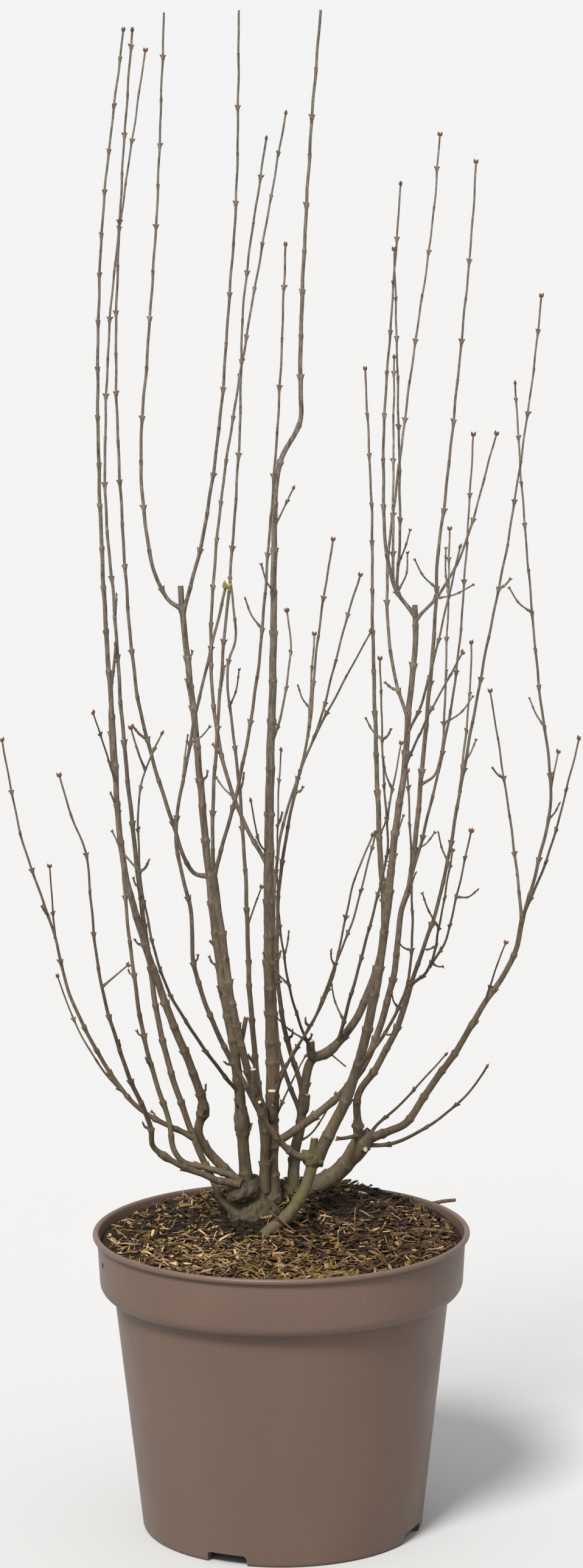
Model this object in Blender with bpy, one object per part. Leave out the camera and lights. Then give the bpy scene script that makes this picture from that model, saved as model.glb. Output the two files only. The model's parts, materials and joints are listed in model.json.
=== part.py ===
"""A lilac shrub in winter, bare but for its buds, in the nursery pot it grew in.

Metres, +Z up. The pot stands at height zero with the middle of the part's box over the
origin, and the shrub's front faces -Y. The pot, its filling, the root crown, each stem
and bough and each mass of twigs are separate named solids. A stem or bough is one
tapering limb, and a mass is its upper shoots with the twigs that branch from them.

Limbs are measured in millimetres from the pot's axis and from the ground: a bend is
(sideways, height), and the depth of the whole limb follows from its foot and its tip.
"""

import math
import random
from collections import namedtuple

import bmesh
import bpy
from mathutils import Matrix, Vector, kdtree

MM = 0.001
GAP = 0.0003  # clearance between two pieces that rest on each other

# The pot, a turned plastic shell
POT_SIDES = 48
POT_HEIGHT = 0.2258
LIP_RADIUS = 0.1400
LIP_BEAD = 0.0022
BAND_TOP_RADIUS = 0.1366
BAND_FOOT_RADIUS = 0.1350
BAND_FOOT_HEIGHT = 0.1795
BAND_ROUNDING = 0.0095
BODY_TOP_RADIUS = 0.1245
BODY_FOOT_RADIUS = 0.1047
WALL = 0.0020
FOOT_CORNER = 0.0030
FOOT_RING_WIDTH = 0.0080
FLOOR_HEIGHT = 0.0090
FLOOR_THICKNESS = 0.0022
NOTCH_HEIGHT = 0.0080
NOTCH_WIDTH = 0.0310
NOTCH_COUNT = 4
NOTCH_TURN = math.radians(-113)  # direction of the first notch, front left
DRAIN_HOLE_RADIUS = 0.0060
DRAIN_HOLE_CIRCLE = 0.0700

# The filling, level near the wall and mounded round the root crown
SOIL_EDGE = 0.2168
MOUND_HEIGHT = 0.0210
MOUND_SPREAD = 0.0600
MOUND_CENTRE = (0.0150, 0.0650)
SOIL_RINGS = 10
SOIL_HUB = 0.0050

# The root crown: lumps of old wood on one flat cut at ground level
GROUND_CUT = 0.2285
LUMP_SWELL = 1.4  # a faceted lump is flatter than its sphere, so its sleeve grows by more
CROWN_LUMPS = [  # centre and radii, in millimetres
    ((-24, 38, 237), (17, 20, 21)),
    ((-21, 25, 229), (19, 14, 15)),
    ((-24, 21, 250), (8, 8, 9)),
    ((-30, 22, 249), (9, 12, 11)),
    ((-8, 41, 236), (9, 12, 14)),
    ((-10, 58, 234), (11, 12, 15)),
    ((8, 54, 233), (11, 11, 14)),
    ((22, 60, 232), (12, 12, 12)),
    ((33, 64, 231), (11, 11, 11)),
]

# The mossy stem in front, which rises from the soil to a knuckle with a cut stub
GREEN_GROUND = 0.2163
GREEN_PATH = [(-20, -17, 211), (-8, -11, 228), (3, -8, 236), (14, -3, 250), (20, 3, 262), (24, 8, 277)]
GREEN_GIRTH = (4.9, 4.2)
KNUCKLE = ((24, 8, 277), (8, 8, 8))
STUB_PATH = [(24, 8, 277), (25, 8, 293)]
STUB_GIRTH = (3.4, 2.6)

# How limbs are drawn
DEPTH_EASE = 1.6   # a limb spreads early and stands steeper towards its tip
TAPER_EASE = 1.7   # it thins fast above its foot and slowly towards its tip
STEM_SIDES = 7
STEM_STEP = 0.026
SHOOT_SIDES = 4
SHOOT_STEP = 0.046
TWIG_SIDES = 3
PATH_STEP = 0.003
NEAR_FEET = 0.024  # limbs whose feet are closer than this are cut clear of each other
SPAN_STEPS = 16

# How twigs branch: opposite pairs, each turned a quarter from the pair below
TWIG_SEED = 41
INTERNODE = 0.032
FIRST_NODE = 0.022
LAST_NODE = 0.012
TWIG_CHANCE = 0.11
TWIG_LENGTHS = (0.009, 0.036)
TWIG_LEAN = (36, 54)
TWIG_GIRTH = (0.62, 0.40)
TWIG_SHORTEST = 0.017  # shorter spurs are left to the surface model
TWIG_CLEARANCE = 0.0022
TWIG_TOP = 0.74           # the long whips above this height are unbranched
NEAR_LIMBS = 0.009        # how far round a twig other limbs are looked for
REACH_LIMITS = (-0.203, 0.219)
TOP_LIMIT = 1.119

BARK_OLD = (0.115, 0.082, 0.055)
BARK_YOUNG = (0.150, 0.112, 0.075)
BARK_GREEN = (0.118, 0.105, 0.050)
SOIL_COLOUR = (0.070, 0.045, 0.026)
POT_COLOUR = (0.190, 0.135, 0.112)

Limb = namedtuple("Limb", "name parent foot depth girth bends split")
LIMBS = {}


def limb(name, parent, foot, depth, girth, bends, split=None):
    """Enter one limb: its foot is a place on the crown or a height on its parent.

    Depth is that of the tip, girth is the radius at foot and tip. Above the height
    called split, the limb belongs to the mass of twigs that it carries.
    """
    LIMBS[name] = Limb(name, parent, foot, depth, girth, bends, split)


def enter_left_limbs():
    limb("trunk_left", "root_crown", (-26, 27, 246), 43, (4.6, 2.2),
         [(-28, 283), (-33, 344), (-44, 412), (-54, 504), (-62, 599), (-69, 666), (-72, 704)], 662)
    limb("leader_hooked", "trunk_left", 684, 52, (1.5, 0.8),
         [(-81, 691), (-92, 716), (-100, 790), (-94, 877), (-87, 968), (-84, 1027), (-80, 1119)])
    limb("leader_straight", "trunk_left", 680, -30, (1.5, 0.8),
         [(-55, 737), (-41, 827), (-34, 909), (-28, 985), (-25, 1118)])
    limb("trunk_twin", "root_crown", (-13, 33, 246), 12, (3.6, 2.3),
         [(-13, 309), (-21, 330), (-34, 384), (-42, 443), (-49, 497)], 474)
    limb("leader_twin_left", "trunk_twin", 488, -15, (1.5, 0.8),
         [(-49, 526), (-40, 658), (-35, 707), (-27, 813), (-23, 913), (-6, 1029)])
    limb("leader_twin_right", "trunk_twin", 490, -80, (1.5, 0.8),
         [(-29, 563), (-15, 644), (-6, 743), (2, 847), (7, 956)])
    limb("leader_left", "trunk_left", 485, -55, (1.6, 0.8),
         [(-64, 488), (-79, 528), (-100, 608), (-106, 654), (-112, 766), (-114, 875), (-108, 996),
          (-99, 1104)])
    limb("spray_front_left", "trunk_left", 322, -120, (1.5, 0.7),
         [(-43, 340), (-82, 417), (-95, 478), (-99, 517), (-96, 580), (-80, 618)])
    limb("spray_front_left_side", "spray_front_left", 589, -135, (0.9, 0.6), [(-98, 603), (-103, 624)])
    limb("stem_tall_left", "root_crown", (-31, 48, 246), 20, (3.6, 0.8),
         [(-62, 287), (-58, 307), (-62, 324), (-88, 395), (-115, 492), (-122, 597), (-127, 688),
          (-130, 801), (-129, 891), (-124, 979), (-108, 1106)], 490)
    limb("tall_left_side", "stem_tall_left", 556, -12, (0.9, 0.6), [(-135, 617)])
    limb("stem_grey_left", "root_crown", (-36, 24, 232), 100, (2.6, 0.7),
         [(-46, 244), (-52, 258), (-58, 271), (-65, 287), (-87, 355), (-99, 428), (-110, 524),
          (-117, 601), (-122, 682), (-128, 763), (-124, 886), (-118, 944), (-95, 1093)], 500)
    limb("bough_outer_left", "stem_grey_left", 288, 10, (2.0, 0.7),
         [(-102, 308), (-120, 328), (-142, 367), (-156, 400), (-168, 451), (-189, 518), (-203, 595)], 404)
    limb("outer_left_side", "bough_outer_left", 443, -8, (0.8, 0.6), [(-168, 504)])
    limb("twig_outer_left", "bough_outer_left", 311, 62, (1.0, 0.6),
         [(-132, 336), (-153, 369), (-163, 393), (-168, 408)])
    limb("bough_low_left", "root_crown", (-31, 14, 256), -90, (2.6, 0.7),
         [(-38, 258), (-48, 260), (-57, 265), (-73, 272), (-94, 289), (-96, 307), (-112, 353),
          (-129, 424), (-135, 492), (-137, 523), (-146, 548), (-156, 584)], 416)
    limb("low_left_side", "bough_low_left", 421, -60, (0.9, 0.6), [(-107, 440)])
    limb("bough_inner_left", "root_crown", (-30, 18, 257), 70, (2.4, 0.8),
         [(-35, 261), (-44, 264), (-58, 268), (-73, 272), (-80, 281), (-83, 299), (-101, 359),
          (-114, 451), (-119, 518), (-126, 591), (-121, 658)], 445)


def enter_middle_limbs():
    limb("trunk_middle", "root_crown", (-7, 41, 240), 10, (5.8, 1.0),
         [(-8, 281), (-6, 325), (-8, 430), (-7, 546), (-4, 639), (-1, 776), (2, 794), (17, 824),
          (17, 846), (18, 899), (25, 1025), (33, 1119)], 484)
    limb("leader_middle", "trunk_middle", 493, 100, (1.6, 0.8),
         [(-30, 535), (-45, 588), (-50, 651), (-43, 752), (-23, 878), (-6, 971), (8, 1047)])
    limb("middle_low_side", "trunk_middle", 504, -5, (0.8, 0.6), [(-14, 512), (-21, 551)])
    limb("middle_side", "trunk_middle", 582, 90, (1.1, 0.7), [(2, 606), (8, 638), (9, 656), (6, 680)])
    limb("middle_high_side", "trunk_middle", 746, 12, (0.8, 0.6), [(13, 778)])
    limb("stem_back", "root_crown", (-10, 60, 246), 150, (2.8, 0.9),
         [(-23, 380), (-26, 466), (-31, 541), (-39, 628), (-33, 649), (-37, 698)], 424)
    limb("back_side", "stem_back", 433, 118, (0.8, 0.6), [(-13, 465)])
    limb("stem_crossing", "green_stem", (22, 6, 277), -125, (2.4, 1.0),
         [(8, 283), (-10, 307), (-25, 339), (-40, 370), (-55, 411), (-62, 440), (-63, 477), (-73, 535),
          (-70, 565), (-65, 590), (-56, 636), (-49, 664), (-35, 722)], 470)
    limb("spray_bowed", "trunk_middle", 302, -115, (1.5, 0.7),
         [(2, 345), (27, 400), (38, 435), (52, 476), (69, 546)])
    limb("spray_inner", "trunk_middle", 326, -85, (1.4, 0.7), [(13, 363), (36, 416), (54, 503), (68, 539)])
    limb("twig_straight", "trunk_middle", 294, 28, (1.0, 0.6), [(12, 338), (20, 353)])
    limb("stem_elbow", "root_crown", (9, 54, 240), 140, (4.2, 0.8),
         [(10, 268), (14, 284), (23, 336), (36, 343), (57, 367), (71, 399), (78, 424), (79, 446), (76, 492),
          (73, 583), (71, 674), (71, 738), (66, 857)], 446)
    limb("stem_centre", "stem_elbow", 312, 40, (2.0, 0.8),
         [(3, 364), (-2, 407), (0, 477), (10, 538), (22, 591), (29, 661), (41, 738)], 574)
    limb("centre_side", "stem_centre", 588, 75, (0.9, 0.7), [(27, 664)])
    limb("spray_back_centre", "stem_elbow", 296, 140, (1.8, 0.8),
         [(0, 338), (-5, 404), (-1, 492), (12, 540), (30, 585), (50, 659), (63, 701)])
    limb("back_centre_side", "spray_back_centre", 576, 112, (1.0, 0.7), [(45, 612), (71, 661)])
    limb("spray_thin", "stem_elbow", 338, -60, (1.2, 0.6), [(9, 393), (-1, 476), (0, 563), (2, 597)])
    limb("spray_elbow", "stem_elbow", 350, -40, (1.4, 0.7),
         [(52, 387), (68, 456), (79, 512), (76, 567), (73, 660)])
    limb("spray_elbow_side", "spray_elbow", 536, 5, (0.9, 0.6), [(90, 592)])
    limb("twig_elbow", "stem_elbow", 276, 66, (0.9, 0.6), [(23, 283), (43, 315)])


def enter_right_limbs():
    limb("stem_right_back", "trunk_middle", 279, 85, (3.1, 0.75),
         [(22, 299), (59, 334), (83, 398), (91, 455), (97, 476), (108, 576), (117, 680), (118, 712),
          (125, 770), (136, 875), (144, 960), (147, 1011)], 448)
    limb("right_back_outer", "stem_right_back", 456, 30, (1.3, 0.7),
         [(106, 510), (123, 586), (132, 646), (138, 727), (143, 815)])
    limb("right_back_inner", "stem_right_back", 549, 140, (1.0, 0.7), [(117, 557), (127, 651), (130, 736)])
    limb("stem_right", "green_stem", (27, 8, 278), -36, (4.4, 2.0),
         [(51, 331), (67, 392), (77, 457), (85, 535), (90, 567), (94, 619), (99, 675), (98, 698)], 566)
    limb("right_bowed_back", "stem_right", 612, 40, (1.3, 0.7),
         [(83, 647), (79, 711), (88, 789), (98, 863), (113, 963), (119, 1031)])
    limb("right_outer", "stem_right", 601, -90, (1.1, 0.7), [(102, 623), (112, 665), (129, 745)])
    limb("right_front", "stem_right", 576, -125, (1.1, 0.7), [(107, 625), (130, 674)])
    limb("right_leader", "stem_right", 687, -55, (1.5, 0.7),
         [(86, 704), (81, 717), (77, 741), (76, 824), (80, 885), (88, 997)])
    limb("right_leader_front", "right_leader", 706, -100, (1.1, 0.7), [(87, 743), (85, 848), (82, 953)])
    limb("right_leader_back", "right_leader", 712, 20, (1.1, 0.7), [(84, 801), (85, 872)])
    limb("right_fork", "stem_right", 684, -60, (1.2, 0.7),
         [(103, 689), (113, 700), (125, 720), (133, 738), (156, 822)])
    limb("spray_front_right", "stem_right", 345, -130, (1.5, 0.7),
         [(80, 388), (93, 430), (93, 529), (90, 592)])
    limb("trunk_right", "root_crown", (20, 61, 239), 61, (7.0, 6.0),
         [(41, 252), (54, 266), (62, 277), (71, 285)])
    limb("bough_low_right", "trunk_right", 278, 56, (3.2, 1.9),
         [(82, 285), (94, 291), (110, 315), (132, 347), (151, 380), (175, 420), (182, 452)], 438)
    limb("low_right_inner", "bough_low_right", 447, 110, (1.2, 0.7), [(177, 491), (171, 537), (159, 616)])
    limb("low_right_leader", "bough_low_right", 446, 50, (1.4, 0.7),
         [(193, 491), (202, 540), (192, 631), (179, 777), (174, 851)])
    limb("low_right_outer", "bough_low_right", 449, -10, (1.2, 0.7), [(199, 505), (212, 565), (219, 597)])
    limb("low_right_spur", "low_right_leader", 548, 70, (0.8, 0.6), [(209, 575)])
    limb("twig_low_right", "bough_low_right", 384, 15, (0.9, 0.6), [(162, 424), (168, 441)])
    limb("stem_inner_right", "trunk_right", 271, 32, (3.2, 2.2),
         [(58, 292), (58, 316), (72, 339), (88, 373), (98, 407)], 386)
    limb("inner_right_leader", "stem_inner_right", 400, -40, (1.6, 0.7),
         [(118, 472), (133, 558), (140, 600), (152, 669), (165, 738), (183, 867), (188, 918)])
    limb("inner_right_front", "stem_inner_right", 403, -110, (1.3, 0.7), [(109, 421), (116, 476), (123, 532)])
    limb("inner_right_side", "inner_right_front", 424, -70, (1.0, 0.7), [(120, 445), (129, 492), (138, 539)])
    limb("inner_right_back", "inner_right_leader", 553, 60, (1.0, 0.7), [(142, 628), (143, 659)])
    limb("spray_low_back", "trunk_right", 281, 105, (1.3, 0.7), [(73, 288), (89, 299), (128, 336)])
    limb("spray_low_front", "trunk_right", 274, 20, (1.7, 0.8),
         [(82, 275), (109, 291), (140, 322), (155, 346)])
    limb("twig_link", "stem_inner_right", 283, 34, (1.6, 1.4),
         [(52, 284), (46, 285), (40, 286)])


def smooth_curve(points):
    """Catmull-Rom through the points, by the roots of their distances."""
    if len(points) == 2:
        return [points[0].lerp(points[1], i / SPAN_STEPS) for i in range(SPAN_STEPS + 1)]
    ends = [2 * points[0] - points[1]] + points + [2 * points[-1] - points[-2]]
    curve = []
    for p0, p1, p2, p3 in zip(ends, ends[1:], ends[2:], ends[3:]):
        t1 = (p1 - p0).length ** 0.5
        t2 = t1 + (p2 - p1).length ** 0.5
        t3 = t2 + (p3 - p2).length ** 0.5
        for i in range(SPAN_STEPS):
            t = t1 + (t2 - t1) * i / SPAN_STEPS
            a1 = p0.lerp(p1, t / t1)
            a2 = p1.lerp(p2, (t - t1) / (t2 - t1))
            a3 = p2.lerp(p3, (t - t2) / (t3 - t2))
            b1 = a1.lerp(a2, t / t2)
            b2 = a2.lerp(a3, (t - t1) / (t3 - t1))
            curve.append(b1.lerp(b2, (t - t1) / (t2 - t1)))
    curve.append(points[-1])
    return curve


def evenly(curve, step):
    """The same curve with points at equal distances, close to the step."""
    lengths = [0.0]
    for a, b in zip(curve, curve[1:]):
        lengths.append(lengths[-1] + (b - a).length)
    count = max(2, round(lengths[-1] / step))
    points = []
    k = 0
    for i in range(count + 1):
        goal = lengths[-1] * i / count
        while k < len(curve) - 2 and lengths[k + 1] < goal:
            k += 1
        share = (goal - lengths[k]) / max(lengths[k + 1] - lengths[k], 1e-9)
        points.append(curve[k].lerp(curve[k + 1], share))
    return points


def path_length(points):
    return sum((b - a).length for a, b in zip(points, points[1:]))


def share_at_height(path, height):
    """How far along the path it first reaches the height, from 0 to 1."""
    for i, (a, b) in enumerate(zip(path, path[1:])):
        if b.z >= height:
            part = (height - a.z) / max(b.z - a.z, 1e-9)
            return (i + min(max(part, 0.0), 1.0)) / (len(path) - 1)
    return 1.0


def point_at(path, share):
    place = min(max(share, 0.0), 1.0) * (len(path) - 1)
    k = min(int(place), len(path) - 2)
    return path[k].lerp(path[k + 1], place - k)


def limb_path(name, paths):
    """The limb's centre line, as evenly spaced points."""
    if name in paths:
        return paths[name]
    row = LIMBS[name]
    if isinstance(row.foot, tuple):
        foot = Vector(row.foot) * MM
    else:
        parent = limb_path(row.parent, paths)
        foot = point_at(parent, share_at_height(parent, row.foot * MM))
    bends = [Vector((foot.x, foot.z))] + [Vector(bend) * MM for bend in row.bends]
    rise = bends[-1].y - foot.z
    points = []
    for bend in bends:
        share = min(max((bend.y - foot.z) / rise, 0.0), 1.0)
        eased = 1 - (1 - share) ** DEPTH_EASE
        points.append(Vector((bend.x, foot.y + (row.depth * MM - foot.y) * eased, bend.y)))
    paths[name] = evenly(smooth_curve(points), PATH_STEP)
    return paths[name]


def radius_at(row, share):
    foot, tip = row.girth
    return (tip + (foot - tip) * (1 - share) ** TAPER_EASE) * MM


def split_share(row, path):
    return 1.0 if row.split is None else share_at_height(path, row.split * MM)


def ring_frames(points):
    """A direction and two side directions at each point, turned as little as possible."""
    frames = []
    side = None
    for i, point in enumerate(points):
        ahead = (points[min(i + 1, len(points) - 1)] - points[max(i - 1, 0)]).normalized()
        if side is None:
            side = ahead.cross(Vector((0, -1, 0.3))).normalized()
        side = (side - ahead * side.dot(ahead)).normalized()
        frames.append((point, side, ahead.cross(side)))
    return frames


def tube_rings(points, radii, sides):
    rings = []
    for (point, side, up), radius in zip(ring_frames(points), radii):
        angles = [2 * math.pi * (i + 0.5) / sides for i in range(sides)]
        rings.append([point + (side * math.cos(a) + up * math.sin(a)) * radius for a in angles])
    return rings


def skin(rings):
    """A closed mesh over a row of rings, flat-capped at both ends."""
    bm = bmesh.new()
    rows = [[bm.verts.new(point) for point in ring] for ring in rings]
    count = len(rows[0])
    for low, high in zip(rows, rows[1:]):
        for i in range(count):
            j = (i + 1) % count
            bm.faces.new((low[i], low[j], high[j], high[i]))
    bm.faces.new(reversed(rows[0]))
    bm.faces.new(rows[-1])
    bmesh.ops.recalc_face_normals(bm, faces=bm.faces)
    return bm


def new_object(name, bm, material=None):
    mesh = bpy.data.meshes.new(name)
    bm.to_mesh(mesh)
    bm.free()
    if material:
        mesh.materials.append(material)
    obj = bpy.data.objects.new(name, mesh)
    bpy.context.scene.collection.objects.link(obj)
    return obj


def apply_boolean(target, others, operation):
    """Join or cut the target with the other objects, which are then removed."""
    group = bpy.data.collections.new("operands")
    for other in others:
        group.objects.link(other)
    modifier = target.modifiers.new("boolean", "BOOLEAN")
    modifier.operation = operation
    modifier.operand_type = "COLLECTION"
    modifier.collection = group
    modifier.solver = "EXACT"
    depsgraph = bpy.context.evaluated_depsgraph_get()
    result = bpy.data.meshes.new_from_object(target.evaluated_get(depsgraph))
    old = target.data
    target.modifiers.clear()
    target.data = result
    bpy.data.meshes.remove(old)
    for other in others:
        bpy.data.objects.remove(other)
    bpy.data.collections.remove(group)


def keep_largest_body(obj):
    """Drop the scraps that a cut leaves behind."""
    bm = bmesh.new()
    bm.from_mesh(obj.data)
    left = set(bm.faces)
    bodies = []
    while left:
        body = {left.pop()}
        edge_faces = list(body)
        while edge_faces:
            face = edge_faces.pop()
            for edge in face.edges:
                for near in edge.link_faces:
                    if near in left:
                        left.discard(near)
                        body.add(near)
                        edge_faces.append(near)
        bodies.append(body)
    bodies.sort(key=lambda body: sum(face.calc_area() for face in body), reverse=True)
    scraps = [face for body in bodies[1:] for face in body]
    if scraps:
        bmesh.ops.delete(bm, geom=scraps, context="FACES")
        bm.to_mesh(obj.data)
    bm.free()


def shade(obj):
    obj.data.shade_smooth()
    obj.data.set_sharp_from_angle(angle=math.radians(40))


def plain_material(name, colour, roughness):
    material = bpy.data.materials.new(name)
    material.use_nodes = True
    shader = material.node_tree.nodes["Principled BSDF"]
    shader.inputs["Base Color"].default_value = (*colour, 1)
    shader.inputs["Roughness"].default_value = roughness
    shader.inputs["Metallic"].default_value = 0.0
    material.diffuse_color = (*colour, 1)
    return material


def turned_rings(profile, sides):
    """Rings about the pot's axis through (radius, height) points."""
    rings = []
    for radius, height in profile:
        angles = [2 * math.pi * i / sides for i in range(sides)]
        rings.append([Vector((radius * math.cos(a), radius * math.sin(a), height)) for a in angles])
    return rings


def arc(centre, radius, start, end, steps):
    points = []
    for i in range(steps + 1):
        angle = math.radians(start + (end - start) * i / steps)
        points.append((centre[0] + radius * math.cos(angle), centre[1] + radius * math.sin(angle)))
    return points


def inner_wall(clearance):
    """The pot's inside from its floor to just under the lip, (radius, height) points."""
    slope = (BODY_TOP_RADIUS - BODY_FOOT_RADIUS) / (BAND_FOOT_HEIGHT - FOOT_CORNER)
    floor_top = FLOOR_HEIGHT + FLOOR_THICKNESS
    foot_radius = BODY_FOOT_RADIUS + slope * (floor_top - FOOT_CORNER) - WALL
    rounding = (BAND_FOOT_RADIUS - BAND_ROUNDING, BAND_FOOT_HEIGHT + BAND_ROUNDING)
    shoulder = arc(rounding, BAND_ROUNDING - WALL, -70, 0, 3)
    points = [(foot_radius, floor_top), (BODY_TOP_RADIUS - WALL, BAND_FOOT_HEIGHT)]
    points += shoulder
    points.append((BAND_TOP_RADIUS - WALL, POT_HEIGHT - 2.5 * LIP_BEAD))
    return [(radius - clearance, height + clearance) for radius, height in points]


def pot_profile():
    """The shell from the recess under its floor, out, up, over the lip and down inside."""
    ring_inside = BODY_FOOT_RADIUS - FOOT_RING_WIDTH
    rounding = (BAND_FOOT_RADIUS - BAND_ROUNDING, BAND_FOOT_HEIGHT + BAND_ROUNDING)
    bead = (LIP_RADIUS - LIP_BEAD, POT_HEIGHT - LIP_BEAD)
    points = [(ring_inside, FLOOR_HEIGHT), (ring_inside, 0.0)]
    points += [(BODY_FOOT_RADIUS - FOOT_CORNER, 0.0), (BODY_FOOT_RADIUS, FOOT_CORNER)]
    points.append((BODY_TOP_RADIUS, BAND_FOOT_HEIGHT))
    points += arc(rounding, BAND_ROUNDING, -90, 0, 4)
    points.append((BAND_TOP_RADIUS, POT_HEIGHT - 2.5 * LIP_BEAD))
    points += arc(bead, LIP_BEAD, -60, 180, 6)
    points += list(reversed(inner_wall(0.0)))
    return points


def drill(radius, place, low, high, sides=8):
    """A cutter that stands upright at the place."""
    rings = []
    for height in (low, high):
        angles = [2 * math.pi * i / sides for i in range(sides)]
        rings.append([Vector((place.x + radius * math.cos(a), place.y + radius * math.sin(a), height))
                      for a in angles])
    return new_object("drill", skin(rings))


def notch_cutter(turn):
    """A block across the foot ring, as wide as one drain notch."""
    outward = Vector((math.cos(turn), math.sin(turn), 0))
    across = Vector((-outward.y, outward.x, 0)) * NOTCH_WIDTH / 2
    near = outward * (BODY_FOOT_RADIUS - 2 * FOOT_RING_WIDTH)
    far = outward * (BODY_FOOT_RADIUS + FOOT_RING_WIDTH)
    rings = []
    for height in (-NOTCH_HEIGHT, NOTCH_HEIGHT):
        up = Vector((0, 0, height))
        rings.append([near - across + up, near + across + up, far + across + up, far - across + up])
    return new_object("notch", skin(rings))


def make_pot(material):
    pot = new_object("pot", skin(turned_rings(pot_profile(), POT_SIDES)), material)
    cutters = []
    for i in range(NOTCH_COUNT):
        turn = NOTCH_TURN + 2 * math.pi * i / NOTCH_COUNT
        between = turn + math.pi / NOTCH_COUNT
        place = Vector((math.cos(between), math.sin(between), 0)) * DRAIN_HOLE_CIRCLE
        cutters.append(notch_cutter(turn))
        cutters.append(drill(DRAIN_HOLE_RADIUS, place, 0.0, 2 * FLOOR_HEIGHT))
    apply_boolean(pot, cutters, "DIFFERENCE")
    return pot


def soil_height(x, y):
    """The filling's surface: a soft mound round the root crown."""
    away = (x - MOUND_CENTRE[0]) ** 2 + (y - MOUND_CENTRE[1]) ** 2
    return SOIL_EDGE + MOUND_HEIGHT * math.exp(-away / (2 * MOUND_SPREAD ** 2))


def make_soil(material):
    wall = [point for point in inner_wall(GAP) if point[1] < SOIL_EDGE - GAP]
    rings = turned_rings(wall, POT_SIDES)
    edge = BAND_TOP_RADIUS - WALL - 2 * GAP
    edge_radius = edge - (BAND_TOP_RADIUS - BAND_FOOT_RADIUS) * 0.5
    for i in range(SOIL_RINGS + 1):
        radius = edge_radius + (SOIL_HUB - edge_radius) * i / SOIL_RINGS
        ring = []
        for k in range(POT_SIDES):
            angle = 2 * math.pi * k / POT_SIDES
            x, y = radius * math.cos(angle), radius * math.sin(angle)
            ring.append(Vector((x, y, soil_height(x, y))))
        rings.append(ring)
    soil = new_object("soil", skin(rings), material)
    sleeves = [crown_body("crown_sleeve", GAP), green_body("green_sleeve", GAP)]
    apply_boolean(soil, sleeves, "DIFFERENCE")
    keep_largest_body(soil)
    return soil


def lump(centre, radii, grow):
    """One rounded lump of old wood."""
    bm = bmesh.new()
    bmesh.ops.create_icosphere(bm, subdivisions=2, radius=1.0)
    for vert in bm.verts:
        size = Vector((radius * MM + grow * LUMP_SWELL for radius in radii))
        vert.co = Vector(centre) * MM + vert.co * size
    return new_object("lump", bm)


def cut_flat(obj, height):
    """Cut the object off level at the height and close the cut."""
    bm = bmesh.new()
    bm.from_mesh(obj.data)
    geometry = bm.verts[:] + bm.edges[:] + bm.faces[:]
    cut = bmesh.ops.bisect_plane(bm, geom=geometry, plane_co=(0, 0, height), plane_no=(0, 0, -1),
                                 clear_outer=True, dist=1e-6)
    rim = [item for item in cut["geom_cut"] if isinstance(item, bmesh.types.BMEdge)]
    bmesh.ops.contextual_create(bm, geom=rim)
    bmesh.ops.recalc_face_normals(bm, faces=bm.faces)
    bm.to_mesh(obj.data)
    bm.free()


def crown_body(name, grow, material=None):
    """The root crown, or with a positive grow the sleeve that its neighbours are cut by."""
    lumps = [lump(centre, radii, grow) for centre, radii in CROWN_LUMPS]
    body = lumps[0]
    body.name = name
    if material:
        body.data.materials.append(material)
    apply_boolean(body, lumps[1:], "UNION")
    cut_flat(body, GROUND_CUT - grow)
    return body


def plain_tube(name, points, girth, grow, sides=STEM_SIDES):
    path = evenly(smooth_curve([Vector(point) * MM for point in points]), STEM_STEP / 2)
    last = len(path) - 1
    swell = grow / math.cos(math.pi / sides)
    radii = [(girth[0] + (girth[1] - girth[0]) * i / last) * MM + swell for i in range(last + 1)]
    return new_object(name, skin(tube_rings(path, radii, sides)))


def green_body(name, grow, material=None):
    """The mossy stem with its knuckle and cut stub, or the sleeve round them."""
    body = plain_tube(name, GREEN_PATH, GREEN_GIRTH, grow)
    if material:
        body.data.materials.append(material)
    parts = [lump(*KNUCKLE, grow), plain_tube("stub", STUB_PATH, STUB_GIRTH, grow)]
    apply_boolean(body, parts, "UNION")
    cut_flat(body, GREEN_GROUND - grow)
    return body


def stretch(path, start, end, step):
    """The part of a path between two shares of its length, as evenly spaced points."""
    count = max(2, round(path_length(path) * (end - start) / step))
    shares = [start + (end - start) * i / count for i in range(count + 1)]
    return shares, [point_at(path, share) for share in shares]


def limb_tube(name, paths, start, end, step, sides, grow=0.0):
    row = LIMBS[name]
    shares, points = stretch(paths[name], start, end, step)
    swell = grow / math.cos(math.pi / sides)
    radii = [radius_at(row, share) + swell for share in shares]
    if grow:
        points[0] += (points[0] - points[1]).normalized() * grow
        points[-1] += (points[-1] - points[-2]).normalized() * grow
    return new_object(name, skin(tube_rings(points, radii, sides)))


def sleeve(name, paths):
    """A neighbour's own shape grown by the gap, which cuts the foot of what it meets."""
    if name == "root_crown":
        return crown_body("sleeve", GAP)
    if name == "green_stem":
        return green_body("sleeve", GAP)
    if is_bough(name):
        end = split_share(LIMBS[name], paths[name])
        return limb_tube(name, paths, 0.0, end, STEM_STEP, STEM_SIDES, GAP)
    return limb_tube(name, paths, 0.0, 1.0, SHOOT_STEP, SHOOT_SIDES + 1, GAP)


def foot_sleeves(name, paths):
    """Sleeves of the limb's carrier and of earlier limbs that rise close beside it."""
    carrier = LIMBS[name].parent
    sleeves = [sleeve(carrier, paths)]
    for other, row in LIMBS.items():
        if other == name:
            break
        beside = (paths[other][0] - paths[name][0]).length < NEAR_FEET
        if row.parent == carrier and beside and mass_of(other, paths) is None:
            sleeves.append(sleeve(other, paths))
    return sleeves


def is_bough(name):
    return LIMBS[name].split is not None or name == "trunk_right"


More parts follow.
